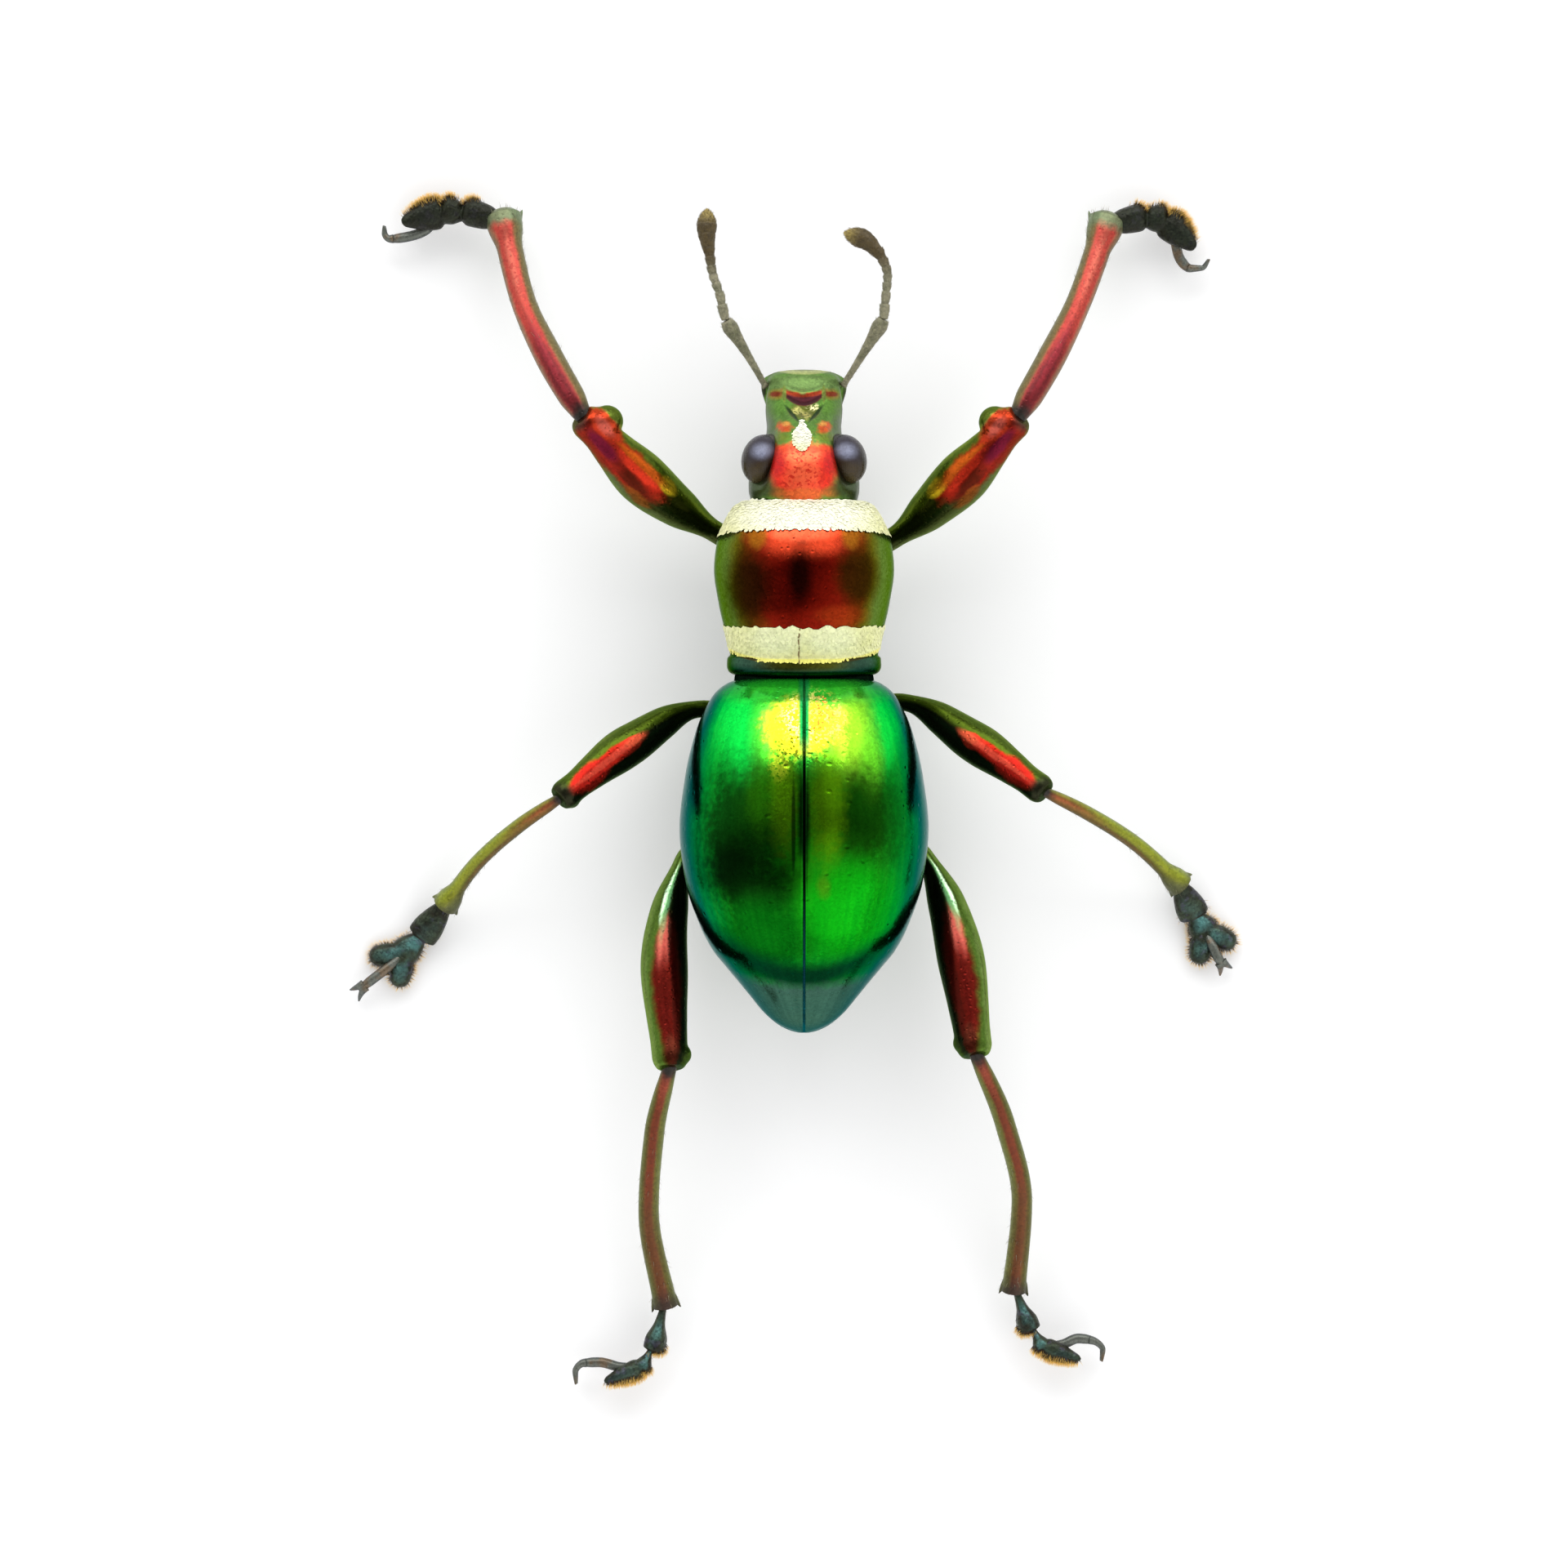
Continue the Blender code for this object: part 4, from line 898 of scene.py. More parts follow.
def brightened(nodes, colour, random, spread):
    """A colour whose brightness changes a little from cell to cell."""
    factor = nodes.plus(1 - spread / 2, nodes.times(random, spread))
    return nodes.mix(1.0, colour, nodes.combine(factor, factor, factor), "MULTIPLY")


def painted(nodes, place, random, colour, strokes):
    """A colour with strokes laid over it, one after another."""
    for stroke in strokes:
        colour = nodes.mix(nodes.patch(place, random, stroke), colour, stroke.colour)
    return colour


def wavering(nodes, place, scale, spread):
    """How far the surface faces up, with a soft waver."""
    waver = nodes.minus(nodes.noise(place["Place"], scale), 0.5)
    return nodes.plus(place["Up"], nodes.times(waver, spread))


# Colours of the wing cases by how far they face up, from the rim to the back
ELYTRA_STOPS = (
    (0.02, (0.045, 0.11, 0.11)), (0.20, (0.030, 0.09, 0.095)), (0.34, (0.004, 0.09, 0.060)),
    (0.48, (0.001, 0.20, 0.04)), (0.70, (0.002, 0.32, 0.015)), (1.0, (0.008, 0.24, 0.004)))
# Strokes over the wing cases, some of them painted light, as marked where they stand
ELYTRA_STROKES = (
    # Bright green and yellow green front: partly the cases' own iridescence, partly a painted reflection of the
    # front light
    Stroke((0.0, 1.10, 5.0), (1.55, 0.95, 2.0), (0.03, 0.48, 0.03), edge=0.5),
    Stroke((1.40, 1.20, 4.8), (0.55, 1.05, 2.0), (0.004, 0.80, 0.07), 0.9, 0.6),
    Stroke((-1.75, 1.20, 4.8), (0.35, 0.95, 2.0), (0.004, 0.65, 0.05), 0.8, 0.6),
    Stroke((1.90, 2.80, 4.6), (0.30, 1.30, 2.0), (0.003, 0.40, 0.03), 0.7, 0.6),
    Stroke((-1.00, 1.20, 5.0), (0.45, 0.90, 2.0), (0.42, 0.95, 0.03), 0.9, 0.7),
    Stroke((-1.50, 1.90, 5.0), (0.25, 0.70, 2.0), (0.16, 0.70, 0.02), 0.8, 0.6),
    Stroke((0.85, 1.25, 5.0), (0.30, 0.80, 2.0), (0.12, 0.75, 0.03), 0.7, 0.7),
    # Dark clouds on the back: painted reflections of the dark room above
    Stroke((1.35, 3.45, 5.0), (1.10, 1.60, 2.0), (0.003, 0.028, 0.002), 0.92, 0.5, 0.8),
    Stroke((-1.25, 3.05, 5.0), (0.90, 1.15, 2.0), (0.004, 0.030, 0.001), 0.9, 0.5, 0.8),
    Stroke((-2.10, 3.10, 4.6), (0.30, 1.30, 2.0), (0.002, 0.10, 0.006), 0.6, 0.6, 0.6),
    Stroke((-0.50, 2.70, 5.4), (0.36, 1.20, 1.5), (0.10, 0.29, 0.002), 0.85, 0.6, 0.8),
    Stroke((0.46, 2.50, 5.4), (0.30, 1.10, 1.5), (0.10, 0.29, 0.002), 0.85, 0.6, 0.8),
    Stroke((0.95, 2.60, 5.2), (0.30, 0.80, 2.0), (0.02, 0.14, 0.002), 0.7, 0.6, 0.6),
    # More dark clouds: painted reflections of the dark room above
    Stroke((1.60, 4.20, 4.8), (0.58, 0.75, 2.0), (0.001, 0.008, 0.001), 0.95, 0.6, 0.5),
    Stroke((0.80, 4.75, 4.8), (0.75, 0.60, 2.0), (0.002, 0.025, 0.002), 0.85, 0.6, 0.6),
    Stroke((-1.00, 5.20, 4.8), (1.15, 1.15, 2.0), (0.002, 0.30, 0.004), 0.75, 0.35, 0.4),
    # Dark cloud: painted reflection of the dark room above
    Stroke((0.90, 5.75, 4.5), (1.05, 0.85, 2.0), (0.001, 0.09, 0.003), 0.9),
    Stroke((-0.43, 4.60, 5.0), (0.14, 0.25, 2.0), (0.10, 0.17, 0.005), 0.38, 0.6, 0.8),
    Stroke((0.0, 0.16, 4.3), (1.75, 0.36, 2.0), (0.02, 0.46, 0.02), 0.9, 0.5),
    # Dark line before the tip and the grey teal tip: painted reflections of a dark band of the room and of the pale
    # floor
    Stroke((0.0, 6.66, 4.0), (2.30, 0.30, 3.0), (0.001, 0.026, 0.010), 0.97, 0.75, 0.3, 0.23),
    Stroke((0.0, 7.90, 3.5), (2.20, 1.05, 3.0), (0.048, 0.10, 0.085), 0.9, 0.14, 0.1, 0.23),
    # Dark spots on the flanks: painted reflections of the middle thighs
    *mirrored(Stroke((2.46, 2.40, 4.0), (0.16, 0.55, 2.0), (0.002, 0.02, 0.015), 0.9)),
    # Golden front: partly the cases' own iridescence, partly a painted reflection of the front light
    Stroke((0.12, 1.06, 5.0), (0.76, 0.64, 2.0), (0.80, 0.72, 0.02), 1.0, 0.30, 0.7, 0.0, 0.20),
    Stroke((0.55, 1.80, 5.2), (0.22, 0.40, 2.0), (0.40, 0.50, 0.02), 0.7, 0.5, 0.7, 0.0, 0.4),
    # White flecks on the gold: painted glints
    Stroke((-0.15, 0.85, 5.0), (0.60, 0.55, 2.0), (1.0, 0.98, 0.30), 1.0, 0.4, 0.6, 0.0, 0.85),
    Stroke((-0.42, 0.80, 5.0), (0.34, 0.48, 2.0), (0.85, 0.22, 0.02), 1.0, 0.4, 0.6, 0.0, 0.88),
)
SECOND_SEAM = Stroke((0.24, 3.30, 5.6), (0.045, 1.05, 3.0), (0.001, 0.006, 0.002), 0.75, 0.35, 0.2)
SEAM_SHADE = Stroke((0.01, 3.05, 5.6), (0.13, 1.20, 3.0), (0.001, 0.006, 0.002), 0.92, 0.45, 0.3)
SEAM_HALF = (0.012, 0.04)
# The seam's colour at the front and the tip, where one turns into the other, and the green beside it
SEAM_DARK, SEAM_BLUE, SEAM_TURN = (0.002, 0.012, 0.004), (0.008, 0.07, 0.09), (4.5, 6.5)
SEAM_GREEN = (0.01, 0.30, 0.06)
# Its green edges: width, length, and how much weaker the seam is there
SEAM_EDGE, SEAM_FRONT, SEAM_FADE = (0.07, 0.16), (1.2, 2.0), 0.35
# Fine streaks: number round and along, colour, strength and change of brightness
STREAKS, STREAK_COLOUR, STREAK_MIX, STREAK_SPREAD = (90.0, 3.0), (0.03, 0.22, 0.002), 0.25, 0.2
# Rows of pits: how many round and along
PIT_ROWS = (44.0, 40.0)


def elytra_colour(nodes, place, random):
    """Green wing cases with teal flanks, a golden front that is partly a painted reflection, and painted dark
    reflections and glints.
    """
    along, turn = nodes.value_of("along"), nodes.value_of("turn")

    def counted(counts):
        return nodes.combine(nodes.times(turn, counts[0]), nodes.times(along, counts[1]))

    colour = nodes.ramp(wavering(nodes, place, 1.3, 0.08), ELYTRA_STOPS)
    streak = nodes.between(nodes.noise(counted(STREAKS), 1.0), 0.3, 0.75)
    colour = nodes.mix(nodes.times(streak, STREAK_MIX), colour, STREAK_COLOUR)
    colour = painted(nodes, place["Place"], random, colour, ELYTRA_STROKES)
    size = nodes.math("ABSOLUTE", place["X"])
    front_part = nodes.below(place["Y"], *SEAM_FRONT)
    colour = nodes.mix(nodes.times(nodes.below(size, *SEAM_EDGE), front_part), colour, SEAM_GREEN)
    seam = nodes.times(nodes.below(size, *SEAM_HALF), nodes.minus(1.0, nodes.times(front_part, SEAM_FADE)))
    colour = nodes.mix(seam, colour, nodes.mix(nodes.between(place["Y"], *SEAM_TURN), SEAM_DARK, SEAM_BLUE))
    colour = painted(nodes, place["Place"], random, colour, (SECOND_SEAM, SEAM_SHADE))
    colour = brightened(nodes, brightened(nodes, colour, streak, STREAK_SPREAD), random, 0.25)
    return colour, nodes.pits(counted(PIT_ROWS), 1.0, 0.22, 0.35), 0.008


# Colours of the front body by how far it faces up
PRONOTUM_STOPS = (
    (0.05, (0.08, 0.14, 0.06)), (0.30, (0.12, 0.20, 0.060)), (0.55, (0.11, 0.18, 0.035)),
    (0.68, (0.12, 0.11, 0.008)), (0.78, (0.14, 0.035, 0.003)), (0.90, (0.17, 0.008, 0.003)),
    (1.0, (0.15, 0.005, 0.002)))
PRONOTUM_STROKES = (
    Stroke((0.0, -3.16, 4.6), (1.20, 0.38, 1.0), (0.50, 0.045, 0.015), 0.9, 0.55, 0.5, 0.10, 0.0),
    # Brighter coral near the front edge: partly a painted highlight of the front light
    Stroke((0.10, -3.32, 4.6), (0.66, 0.20, 1.0), (0.75, 0.12, 0.05), 0.55, 0.5, 0.8),
    # Dark patches on the back, this and the next two: painted reflections of the dark room above
    Stroke((1.25, -2.10, 4.2), (0.52, 0.85, 1.5), (0.014, 0.005, 0.001), 0.92, 0.5),
    Stroke((0.10, -2.32, 4.8), (0.25, 0.60, 1.0), (0.012, 0.002, 0.001), 0.92, 0.6),
    Stroke((-1.18, -2.35, 4.3), (0.46, 0.65, 1.5), (0.018, 0.012, 0.001), 0.85),
    Stroke((-0.85, -1.45, 4.6), (0.55, 0.22, 1.0), (0.24, 0.025, 0.004), 0.6),
    *mirrored(Stroke((1.05, -3.25, 4.4), (0.20, 0.28, 1.0), (0.30, 0.12, 0.007), 0.7)),
)


# How much further forward the rear band's edge is at its sides
BAND_EDGE_BEND = 0.031
# Collar behind the rear band: middle, sides, shadow and groove
COLLAR_MIDDLE, COLLAR_SIDE = (0.09, 0.095, 0.010), (0.035, 0.085, 0.055)
COLLAR_SHADE, COLLAR_GROOVE = (0.005, 0.038, 0.024), (0.002, 0.006, 0.004)
# Brown line along the rear band's edge: where it starts and ends, strength and colour
EDGE_LINE, EDGE_LINE_STRENGTH, EDGE_LINE_COLOUR = ((-0.50, -0.45), (-0.41, -0.37)), 0.8, (0.05, 0.03, 0.006)


def band_edge(nodes, place):
    """Place along the body counted from the rear edge of the rear band, which is further forward at its sides."""
    return nodes.plus(place["Y"], nodes.times(nodes.math("POWER", place["X"], 4.0), BAND_EDGE_BEND))


def pronotum_colour(nodes, place, random):
    """Crimson back that turns orange, olive and green down the sides, with a green rear rim; its dark patches are
    painted reflections and its bright front partly a painted highlight.
    """
    colour = nodes.ramp(wavering(nodes, place, 2.0, 0.10), PRONOTUM_STOPS)
    colour = painted(nodes, place["Place"], random, colour, PRONOTUM_STROKES)
    size = nodes.math("ABSOLUTE", place["X"])
    bow = nodes.plus(place["Y"], nodes.times(nodes.times(size, size), 0.035))
    collar = nodes.mix(nodes.between(size, 0.5, 1.3), COLLAR_MIDDLE, COLLAR_SIDE)
    colour = nodes.mix(nodes.between(bow, -0.85, -0.75), colour, collar)
    edge = band_edge(nodes, place)
    line = nodes.minus(nodes.between(edge, *EDGE_LINE[0]), nodes.between(edge, *EDGE_LINE[1]))
    colour = nodes.mix(nodes.times(line, EDGE_LINE_STRENGTH), colour, EDGE_LINE_COLOUR)
    colour = nodes.mix(nodes.between(bow, -0.33, -0.15), colour, COLLAR_SHADE)
    colour = nodes.mix(nodes.between(bow, -0.10, -0.06), colour, COLLAR_GROOVE)
    return brightened(nodes, colour, random, 0.35), nodes.pits(place["Place"], 0.22, 0.22), 0.007


# Colours of the head by how far it faces up
HEAD_STOPS = ((0.0, (0.03, 0.06, 0.015)), (0.30, (0.08, 0.15, 0.02)), (0.60, (0.10, 0.23, 0.03)),
              (1.0, (0.12, 0.27, 0.04)))
HEAD_STROKES = (
    Stroke((0.0, -6.72, 2.3), (1.10, 0.20, 2.0), (0.13, 0.22, 0.06), 0.95, 0.3),
    Stroke((0.0, -6.98, 2.1), (0.95, 0.05, 1.0), (0.50, 0.52, 0.20), 0.7, 0.5, 0.3, 0.2),
    *mirrored(Stroke((0.62, -6.47, 2.3), (0.19, 0.12, 1.0), (0.28, 0.17, 0.02), 0.8),
              Stroke((0.62, -6.48, 2.3), (0.14, 0.065, 1.0), (0.20, 0.02, 0.004), 0.95, 0.4, 0.7),
              Stroke((0.44, -5.69, 3.0), (0.18, 0.15, 1.0), (0.62, 0.085, 0.010), 0.97, 0.3, 1.2),
              Stroke((0.41, -5.78, 3.0), (0.09, 0.06, 1.0), (0.80, 0.42, 0.08), 0.7, 0.5, 1.0),
              Stroke((0.48, -5.45, 3.1), (0.26, 0.13, 1.0), (0.15, 0.20, 0.015), 0.85),
              Stroke((0.76, -5.66, 2.9), (0.12, 0.30, 1.0), (0.05, 0.10, 0.015), 0.8)),
    Stroke((0.08, -4.98, 3.6), (0.74, 0.36, 1.0), (0.80, 0.030, 0.010), 1.0, 0.25, 0.6),
    Stroke((0.05, -4.60, 3.9), (0.78, 0.56, 1.0), (0.80, 0.026, 0.008), 1.0, 0.22, 0.4),
    *mirrored(Stroke((0.47, -5.10, 3.6), (0.27, 0.20, 1.0), (0.80, 0.060, 0.015), 0.95, 0.3, 0.7),
              Stroke((0.60, -4.22, 3.9), (0.22, 0.12, 1.0), (0.30, 0.10, 0.010), 0.8, 0.5)),
    Stroke((0.04, -4.68, 4.0), (0.36, 0.60, 1.0), (1.0, 0.13, 0.045), 0.9, 0.7, 1.4, 0.0, 0.30),
    Stroke((0.10, -5.00, 3.8), (0.40, 0.16, 1.0), (1.0, 0.20, 0.06), 0.7, 0.7, 1.6, 0.0, 0.45),
    Stroke((0.02, -4.20, 4.0), (0.50, 0.10, 1.0), (0.80, 0.16, 0.02), 0.7, 0.5, 0.9),
    *mirrored(Stroke((0.60, -4.88, 3.8), (0.20, 0.28, 1.0), (0.55, 0.006, 0.006), 0.9, 0.5, 0.8),
              Stroke((1.02, -4.35, 3.6), (0.36, 0.30, 2.0), (0.035, 0.060, 0.010), 0.95),
              # Dark brown between the forehead and each eye: painted shade
              Stroke((0.88, -4.98, 3.4), (0.16, 0.55, 2.0), (0.016, 0.010, 0.005), 0.97, 0.3, 0.2)),
    Stroke((-0.93, -6.15, 2.3), (0.07, 0.62, 1.0), (0.020, 0.014, 0.006), 0.9, 0.3, 0.3),
    Stroke((0.92, -6.60, 2.2), (0.07, 0.20, 1.0), (0.015, 0.014, 0.006), 0.9, 0.3, 0.3),
    Stroke((0.0, -6.05, 2.7), (0.34, 0.24, 1.0), (0.12, 0.13, 0.012), 0.9, 0.3, 0.3),
    Stroke((0.16, -6.08, 2.7), (0.12, 0.08, 1.0), (0.70, 0.66, 0.20), 0.9, 0.6, 2.2, 0.0, 0.5),
    Stroke((-0.20, -6.16, 2.7), (0.13, 0.08, 1.0), (0.95, 0.90, 0.45), 0.95, 0.6, 2.2, 0.0, 0.6),
    Stroke((-0.03, -5.95, 2.7), (0.10, 0.10, 1.0), (0.60, 0.55, 0.15), 0.8, 0.6, 2.2, 0.0, 0.5),
    *mirrored(Stroke((0.245, -5.99, 2.7), (0.050, 0.23, 1.0), (0.014, 0.04, 0.006), 0.95, 0.35, 0.15, slant=0.79)),
    Stroke((0.0, -6.350, 2.4), (0.49, 0.165, 1.0), (0.27, 0.022, 0.005), 0.97, 0.15, 0.2, 0.80),
    Stroke((0.0, -6.300, 2.4), (0.46, 0.110, 1.0), (0.040, 0.003, 0.008), 0.97, 0.25, 0.2, 0.80),
    Stroke((0.03, -6.53, 2.4), (0.09, 0.070, 1.0), (0.14, 0.20, 0.05), 0.9, 0.4, 0.2),
    *mirrored(Stroke((0.445, -6.48, 2.4), (0.045, 0.20, 1.0), (0.14, 0.19, 0.03), 0.95, 0.3, 0.1)),
)


def head_colour(nodes, place, random):
    """Green snout with red bars, a dark crescent and a golden hollow, a coral forehead, and painted shade between
    the forehead and the eyes.
    """
    colour = nodes.ramp(wavering(nodes, place, 2.5, 0.12), HEAD_STOPS)
    colour = painted(nodes, place["Place"], random, colour, HEAD_STROKES)
    colour = nodes.mix(nodes.between(place["Up"], 0.05, 0.25), (0.02, 0.035, 0.01), colour)
    return brightened(nodes, colour, random, 0.35), nodes.pits(place["Place"], 0.12, 0.25), 0.0025


def mottled(nodes, place, scale, first, second, low=0.35, high=0.65):
    """Two colours in soft spots."""
    return nodes.mix(nodes.between(nodes.noise(place["Place"], scale), low, high), first, second)


def underside_colour(nodes, place, random):
    """Dark metallic green plates with coarse pits."""
    colour = mottled(nodes, place, 1.2, (0.02, 0.10, 0.04), (0.07, 0.16, 0.02))
    return brightened(nodes, colour, random, 0.4), nodes.pits(place["Place"], 0.20, 0.3), 0.02


SCALE_STROKES = (
    Stroke((0.0, -3.80, 4.2), (1.50, 0.75, 2.0), (0.98, 0.98, 0.78), edge=0.5),
    Stroke((0.0, -5.50, 3.1), (0.40, 0.60, 1.0), (0.98, 0.98, 0.82), edge=0.3),
    *mirrored(Stroke((0.60, -0.95, 4.4), (0.55, 0.40, 1.0), (0.88, 0.92, 0.58), 0.6)),
)


# Dull and bright cream, the rear band's yellow rim and its brown middle line
DULL_CREAM, BRIGHT_CREAM = (0.66, 0.68, 0.26), (0.88, 0.88, 0.48)
RIM_YELLOW, RIM_PLACE, RIM_STRENGTH = (0.86, 0.80, 0.10), (-0.51, -0.45), 0.75
LINE_BROWN, LINE_MIDDLE, LINE_WANDER, LINE_HALF = (0.16, 0.10, 0.02), 0.12, 0.12, (0.006, 0.030)


def scale_colour(nodes, place, random):
    """Cream scales, whiter on the front band's middle, with a fine brown line along the rear band's middle."""
    colour = nodes.mix(nodes.noise(place["Place"], 3.0), DULL_CREAM, BRIGHT_CREAM)
    colour = painted(nodes, place["Place"], random, colour, SCALE_STROKES)
    rim = nodes.times(nodes.between(band_edge(nodes, place), *RIM_PLACE), RIM_STRENGTH)
    colour = nodes.mix(rim, colour, RIM_YELLOW)
    wander = nodes.times(nodes.minus(nodes.noise(place["Place"], 4.0), 0.5), LINE_WANDER)
    off = nodes.math("ABSOLUTE", nodes.minus(place["X"], nodes.plus(wander, LINE_MIDDLE)))
    line = nodes.times(nodes.below(off, *LINE_HALF), nodes.between(place["Y"], -1.5, -1.4))
    broken = nodes.between(nodes.noise(place["Place"], 9.0), 0.30, 0.5)
    colour = nodes.mix(nodes.times(line, broken), colour, LINE_BROWN)
    return brightened(nodes, colour, random, 0.25), nodes.noise(place["Place"], 30.0), 0.004


# Eyes: front, rear, outer side and between the facets
EYE_VIOLET, EYE_BROWN = (0.032, 0.027, 0.040), (0.050, 0.032, 0.010)
EYE_OLIVE, EYE_DARK = (0.034, 0.030, 0.018), (0.02, 0.015, 0.012)
EYE_HIGHLIGHT_AND_SHADE = (
    # Pale spot on each eye: a painted highlight of the front window
    *mirrored(Stroke((0.95, -5.16, 3.80), (0.20, 0.15, 0.40), (0.30, 0.32, 0.44), 0.85, 0.8, 0.2)),
    # Nearly black corner of each eye by the forehead: painted shade
    *mirrored(Stroke((0.66, -4.70, 3.6), (0.24, 0.36, 0.60), (0.012, 0.005, 0.002), 0.9, 0.5)),
)


def eye_colour(nodes, place, random):
    """Grey violet facets at the front with a painted highlight, brown toward the rear, and nearly black with painted
    shade toward the head.
    """
    size = nodes.math("ABSOLUTE", place["X"])
    slope = nodes.minus(place["Y"], nodes.times(size, 0.25))
    colour = nodes.mix(nodes.between(slope, -5.36, -5.02), EYE_VIOLET, EYE_BROWN)
    colour = nodes.mix(nodes.times(nodes.between(size, 1.10, 1.35), 0.6), colour, EYE_OLIVE)
    colour = painted(nodes, place["Place"], random, colour, EYE_HIGHLIGHT_AND_SHADE)
    colour = nodes.mix(nodes.times(random, 0.3), colour, EYE_DARK)
    return colour, nodes.minus(1.0, nodes.pits(place["Place"], 0.045, 0.9, 0.15)), 0.004


# How unevenly the colours of a limb meet, and the colour of its underside
LIMB_WAVER, LIMB_UNDER = 0.24, (0.10, 0.13, 0.04)


@dataclass
class LimbPaint:
    """Colours of a limb from its rear or inner edge (0) to its front or outer edge (1), with strokes over them."""
    stops: tuple
    strokes: tuple

    def __call__(self, nodes, place, random):
        waver = nodes.minus(nodes.noise(place["Place"], 2.2), 0.5)
        side = nodes.plus(nodes.value_of("side"), nodes.times(waver, LIMB_WAVER))
        colour = nodes.ramp(nodes.plus(nodes.times(side, 0.5), 0.5), self.stops)
        colour = painted(nodes, nodes.combine(nodes.value_of("along"), side), random, colour, self.strokes)
        colour = nodes.mix(nodes.between(place["Up"], -0.35, 0.15), LIMB_UNDER, colour)
        return brightened(nodes, colour, random, 0.35), nodes.pits(place["Place"], 0.13, 0.3), 0.006


def band(start, end, low, high, colour, strength=1.0, edge=0.35, ragged=0.3, bend=0.0, grain=0.0):
    """A stroke on a limb between two shares of its length and two places across it."""
    return Stroke(((start + end) / 2, (low + high) / 2, 0.0), ((end - start) / 2, (high - low) / 2, 9.0),
                  colour, strength, edge, ragged, bend, grain)


# Thigh colours; among the strokes are painted highlights and painted shade, marked where they stand
FEMUR_PAINTS = {
    "front": LimbPaint(
        ((0.0, (0.14, 0.17, 0.07)), (0.14, (0.05, 0.065, 0.014)), (0.34, (0.010, 0.012, 0.001)),
         (0.62, (0.014, 0.018, 0.001)), (0.76, (0.09, 0.13, 0.006)), (0.92, (0.07, 0.11, 0.012)),
         (1.0, (0.20, 0.25, 0.05))),
        (band(0.56, 1.00, -0.76, 0.66, (0.27, 0.009, 0.004), 1.0, 0.2, 0.4),
         # Yellow where green meets red: partly a painted highlight
         band(0.53, 0.62, 0.16, 0.66, (0.62, 0.44, 0.02), 0.95, 0.4),
         band(0.58, 0.84, 0.14, 0.58, (0.55, 0.10, 0.008), 0.9, 0.4),
         # Bright red along the thigh's top: painted highlight; dark crimson below it: painted shade
         band(0.60, 0.88, -0.12, 0.26, (0.60, 0.030, 0.012), 0.9),
         band(0.60, 0.88, -0.60, -0.14, (0.05, 0.005, 0.002), 0.85),
         band(0.57, 0.70, -0.84, -0.50, (0.20, 0.05, 0.006), 0.8),
         band(0.76, 1.04, -1.15, 0.30, (0.22, 0.010, 0.006), 0.95, 0.25, 0.5),
         band(0.80, 0.96, -0.62, 0.02, (0.12, 0.003, 0.022), 0.9),
         band(0.84, 1.02, 0.00, 1.20, (0.42, 0.030, 0.010), 0.95, 0.2),
         band(0.88, 0.97, 0.20, 0.80, (0.55, 0.12, 0.09), 0.6, 0.5),
         band(0.74, 1.30, 1.10, 3.20, (0.08, 0.115, 0.012), 0.97, 0.06),
         band(0.985, 1.30, 0.45, 3.20, (0.08, 0.115, 0.012), 0.95, 0.06),
         band(0.985, 1.10, -1.6, 0.40, (0.05, 0.04, 0.03), 0.9))),
    "middle": LimbPaint(
        ((0.0, (0.02, 0.035, 0.012)), (0.10, (0.006, 0.010, 0.003)), (0.50, (0.005, 0.007, 0.002)),
         (0.60, (0.035, 0.055, 0.003)), (0.72, (0.07, 0.11, 0.006)), (0.90, (0.06, 0.10, 0.012)),
         (1.0, (0.16, 0.20, 0.05))),
        (band(0.575, 0.90, -0.40, 0.36, (0.42, 0.012, 0.006), 1.0, 0.2),
         band(0.580, 0.70, -0.38, 0.36, (0.42, 0.020, 0.010), 1.0, 0.15),
         band(0.76, 0.965, -0.80, 0.62, (0.42, 0.012, 0.008), 1.0, 0.2),
         # Brighter coral in the stripe's middle: painted highlight
         band(0.62, 0.93, -0.20, 0.14, (0.80, 0.08, 0.045), 0.85, 0.4, 0.5),
         band(0.56, 0.66, -0.16, 0.24, (0.75, 0.12, 0.05), 0.6, 0.5),
         band(0.955, 1.10, -1.6, 1.6, (0.022, 0.022, 0.012), 0.95))),
    "hind": LimbPaint(
        ((0.0, (0.006, 0.010, 0.003)), (0.40, (0.003, 0.003, 0.001)), (0.54, (0.01, 0.018, 0.002)),
         (0.66, (0.05, 0.09, 0.010)), (0.84, (0.08, 0.15, 0.02)), (1.0, (0.20, 0.28, 0.08))),
        (band(0.52, 0.995, -0.68, 0.56, (0.11, 0.004, 0.003), 1.0, 0.3, 0.4),
         # Pinkish red where the red starts: painted highlight
         band(0.50, 0.66, -0.18, 0.36, (0.42, 0.08, 0.06), 0.75, 0.55),
         band(0.60, 0.94, -0.15, 0.20, (0.14, 0.006, 0.005), 0.8),
         band(0.62, 0.96, -0.60, -0.28, (0.05, 0.002, 0.002), 0.7),
         # Whitish green streak: painted highlight
         band(0.31, 0.50, 0.24, 0.46, (0.65, 0.95, 0.60), 0.85, 0.5),
         band(0.30, 0.56, 0.05, 0.34, (0.10, 0.30, 0.12), 0.5, 0.5),
         band(0.82, 1.30, -3.4, -0.95, (0.08, 0.15, 0.015), 0.95),
         band(0.90, 0.99, -0.40, 0.20, (0.10, 0.02, 0.01), 0.6))),
}
KNEE = band(-0.2, 0.055, -2.0, 2.0, (0.022, 0.018, 0.014), 1.0, 0.25)
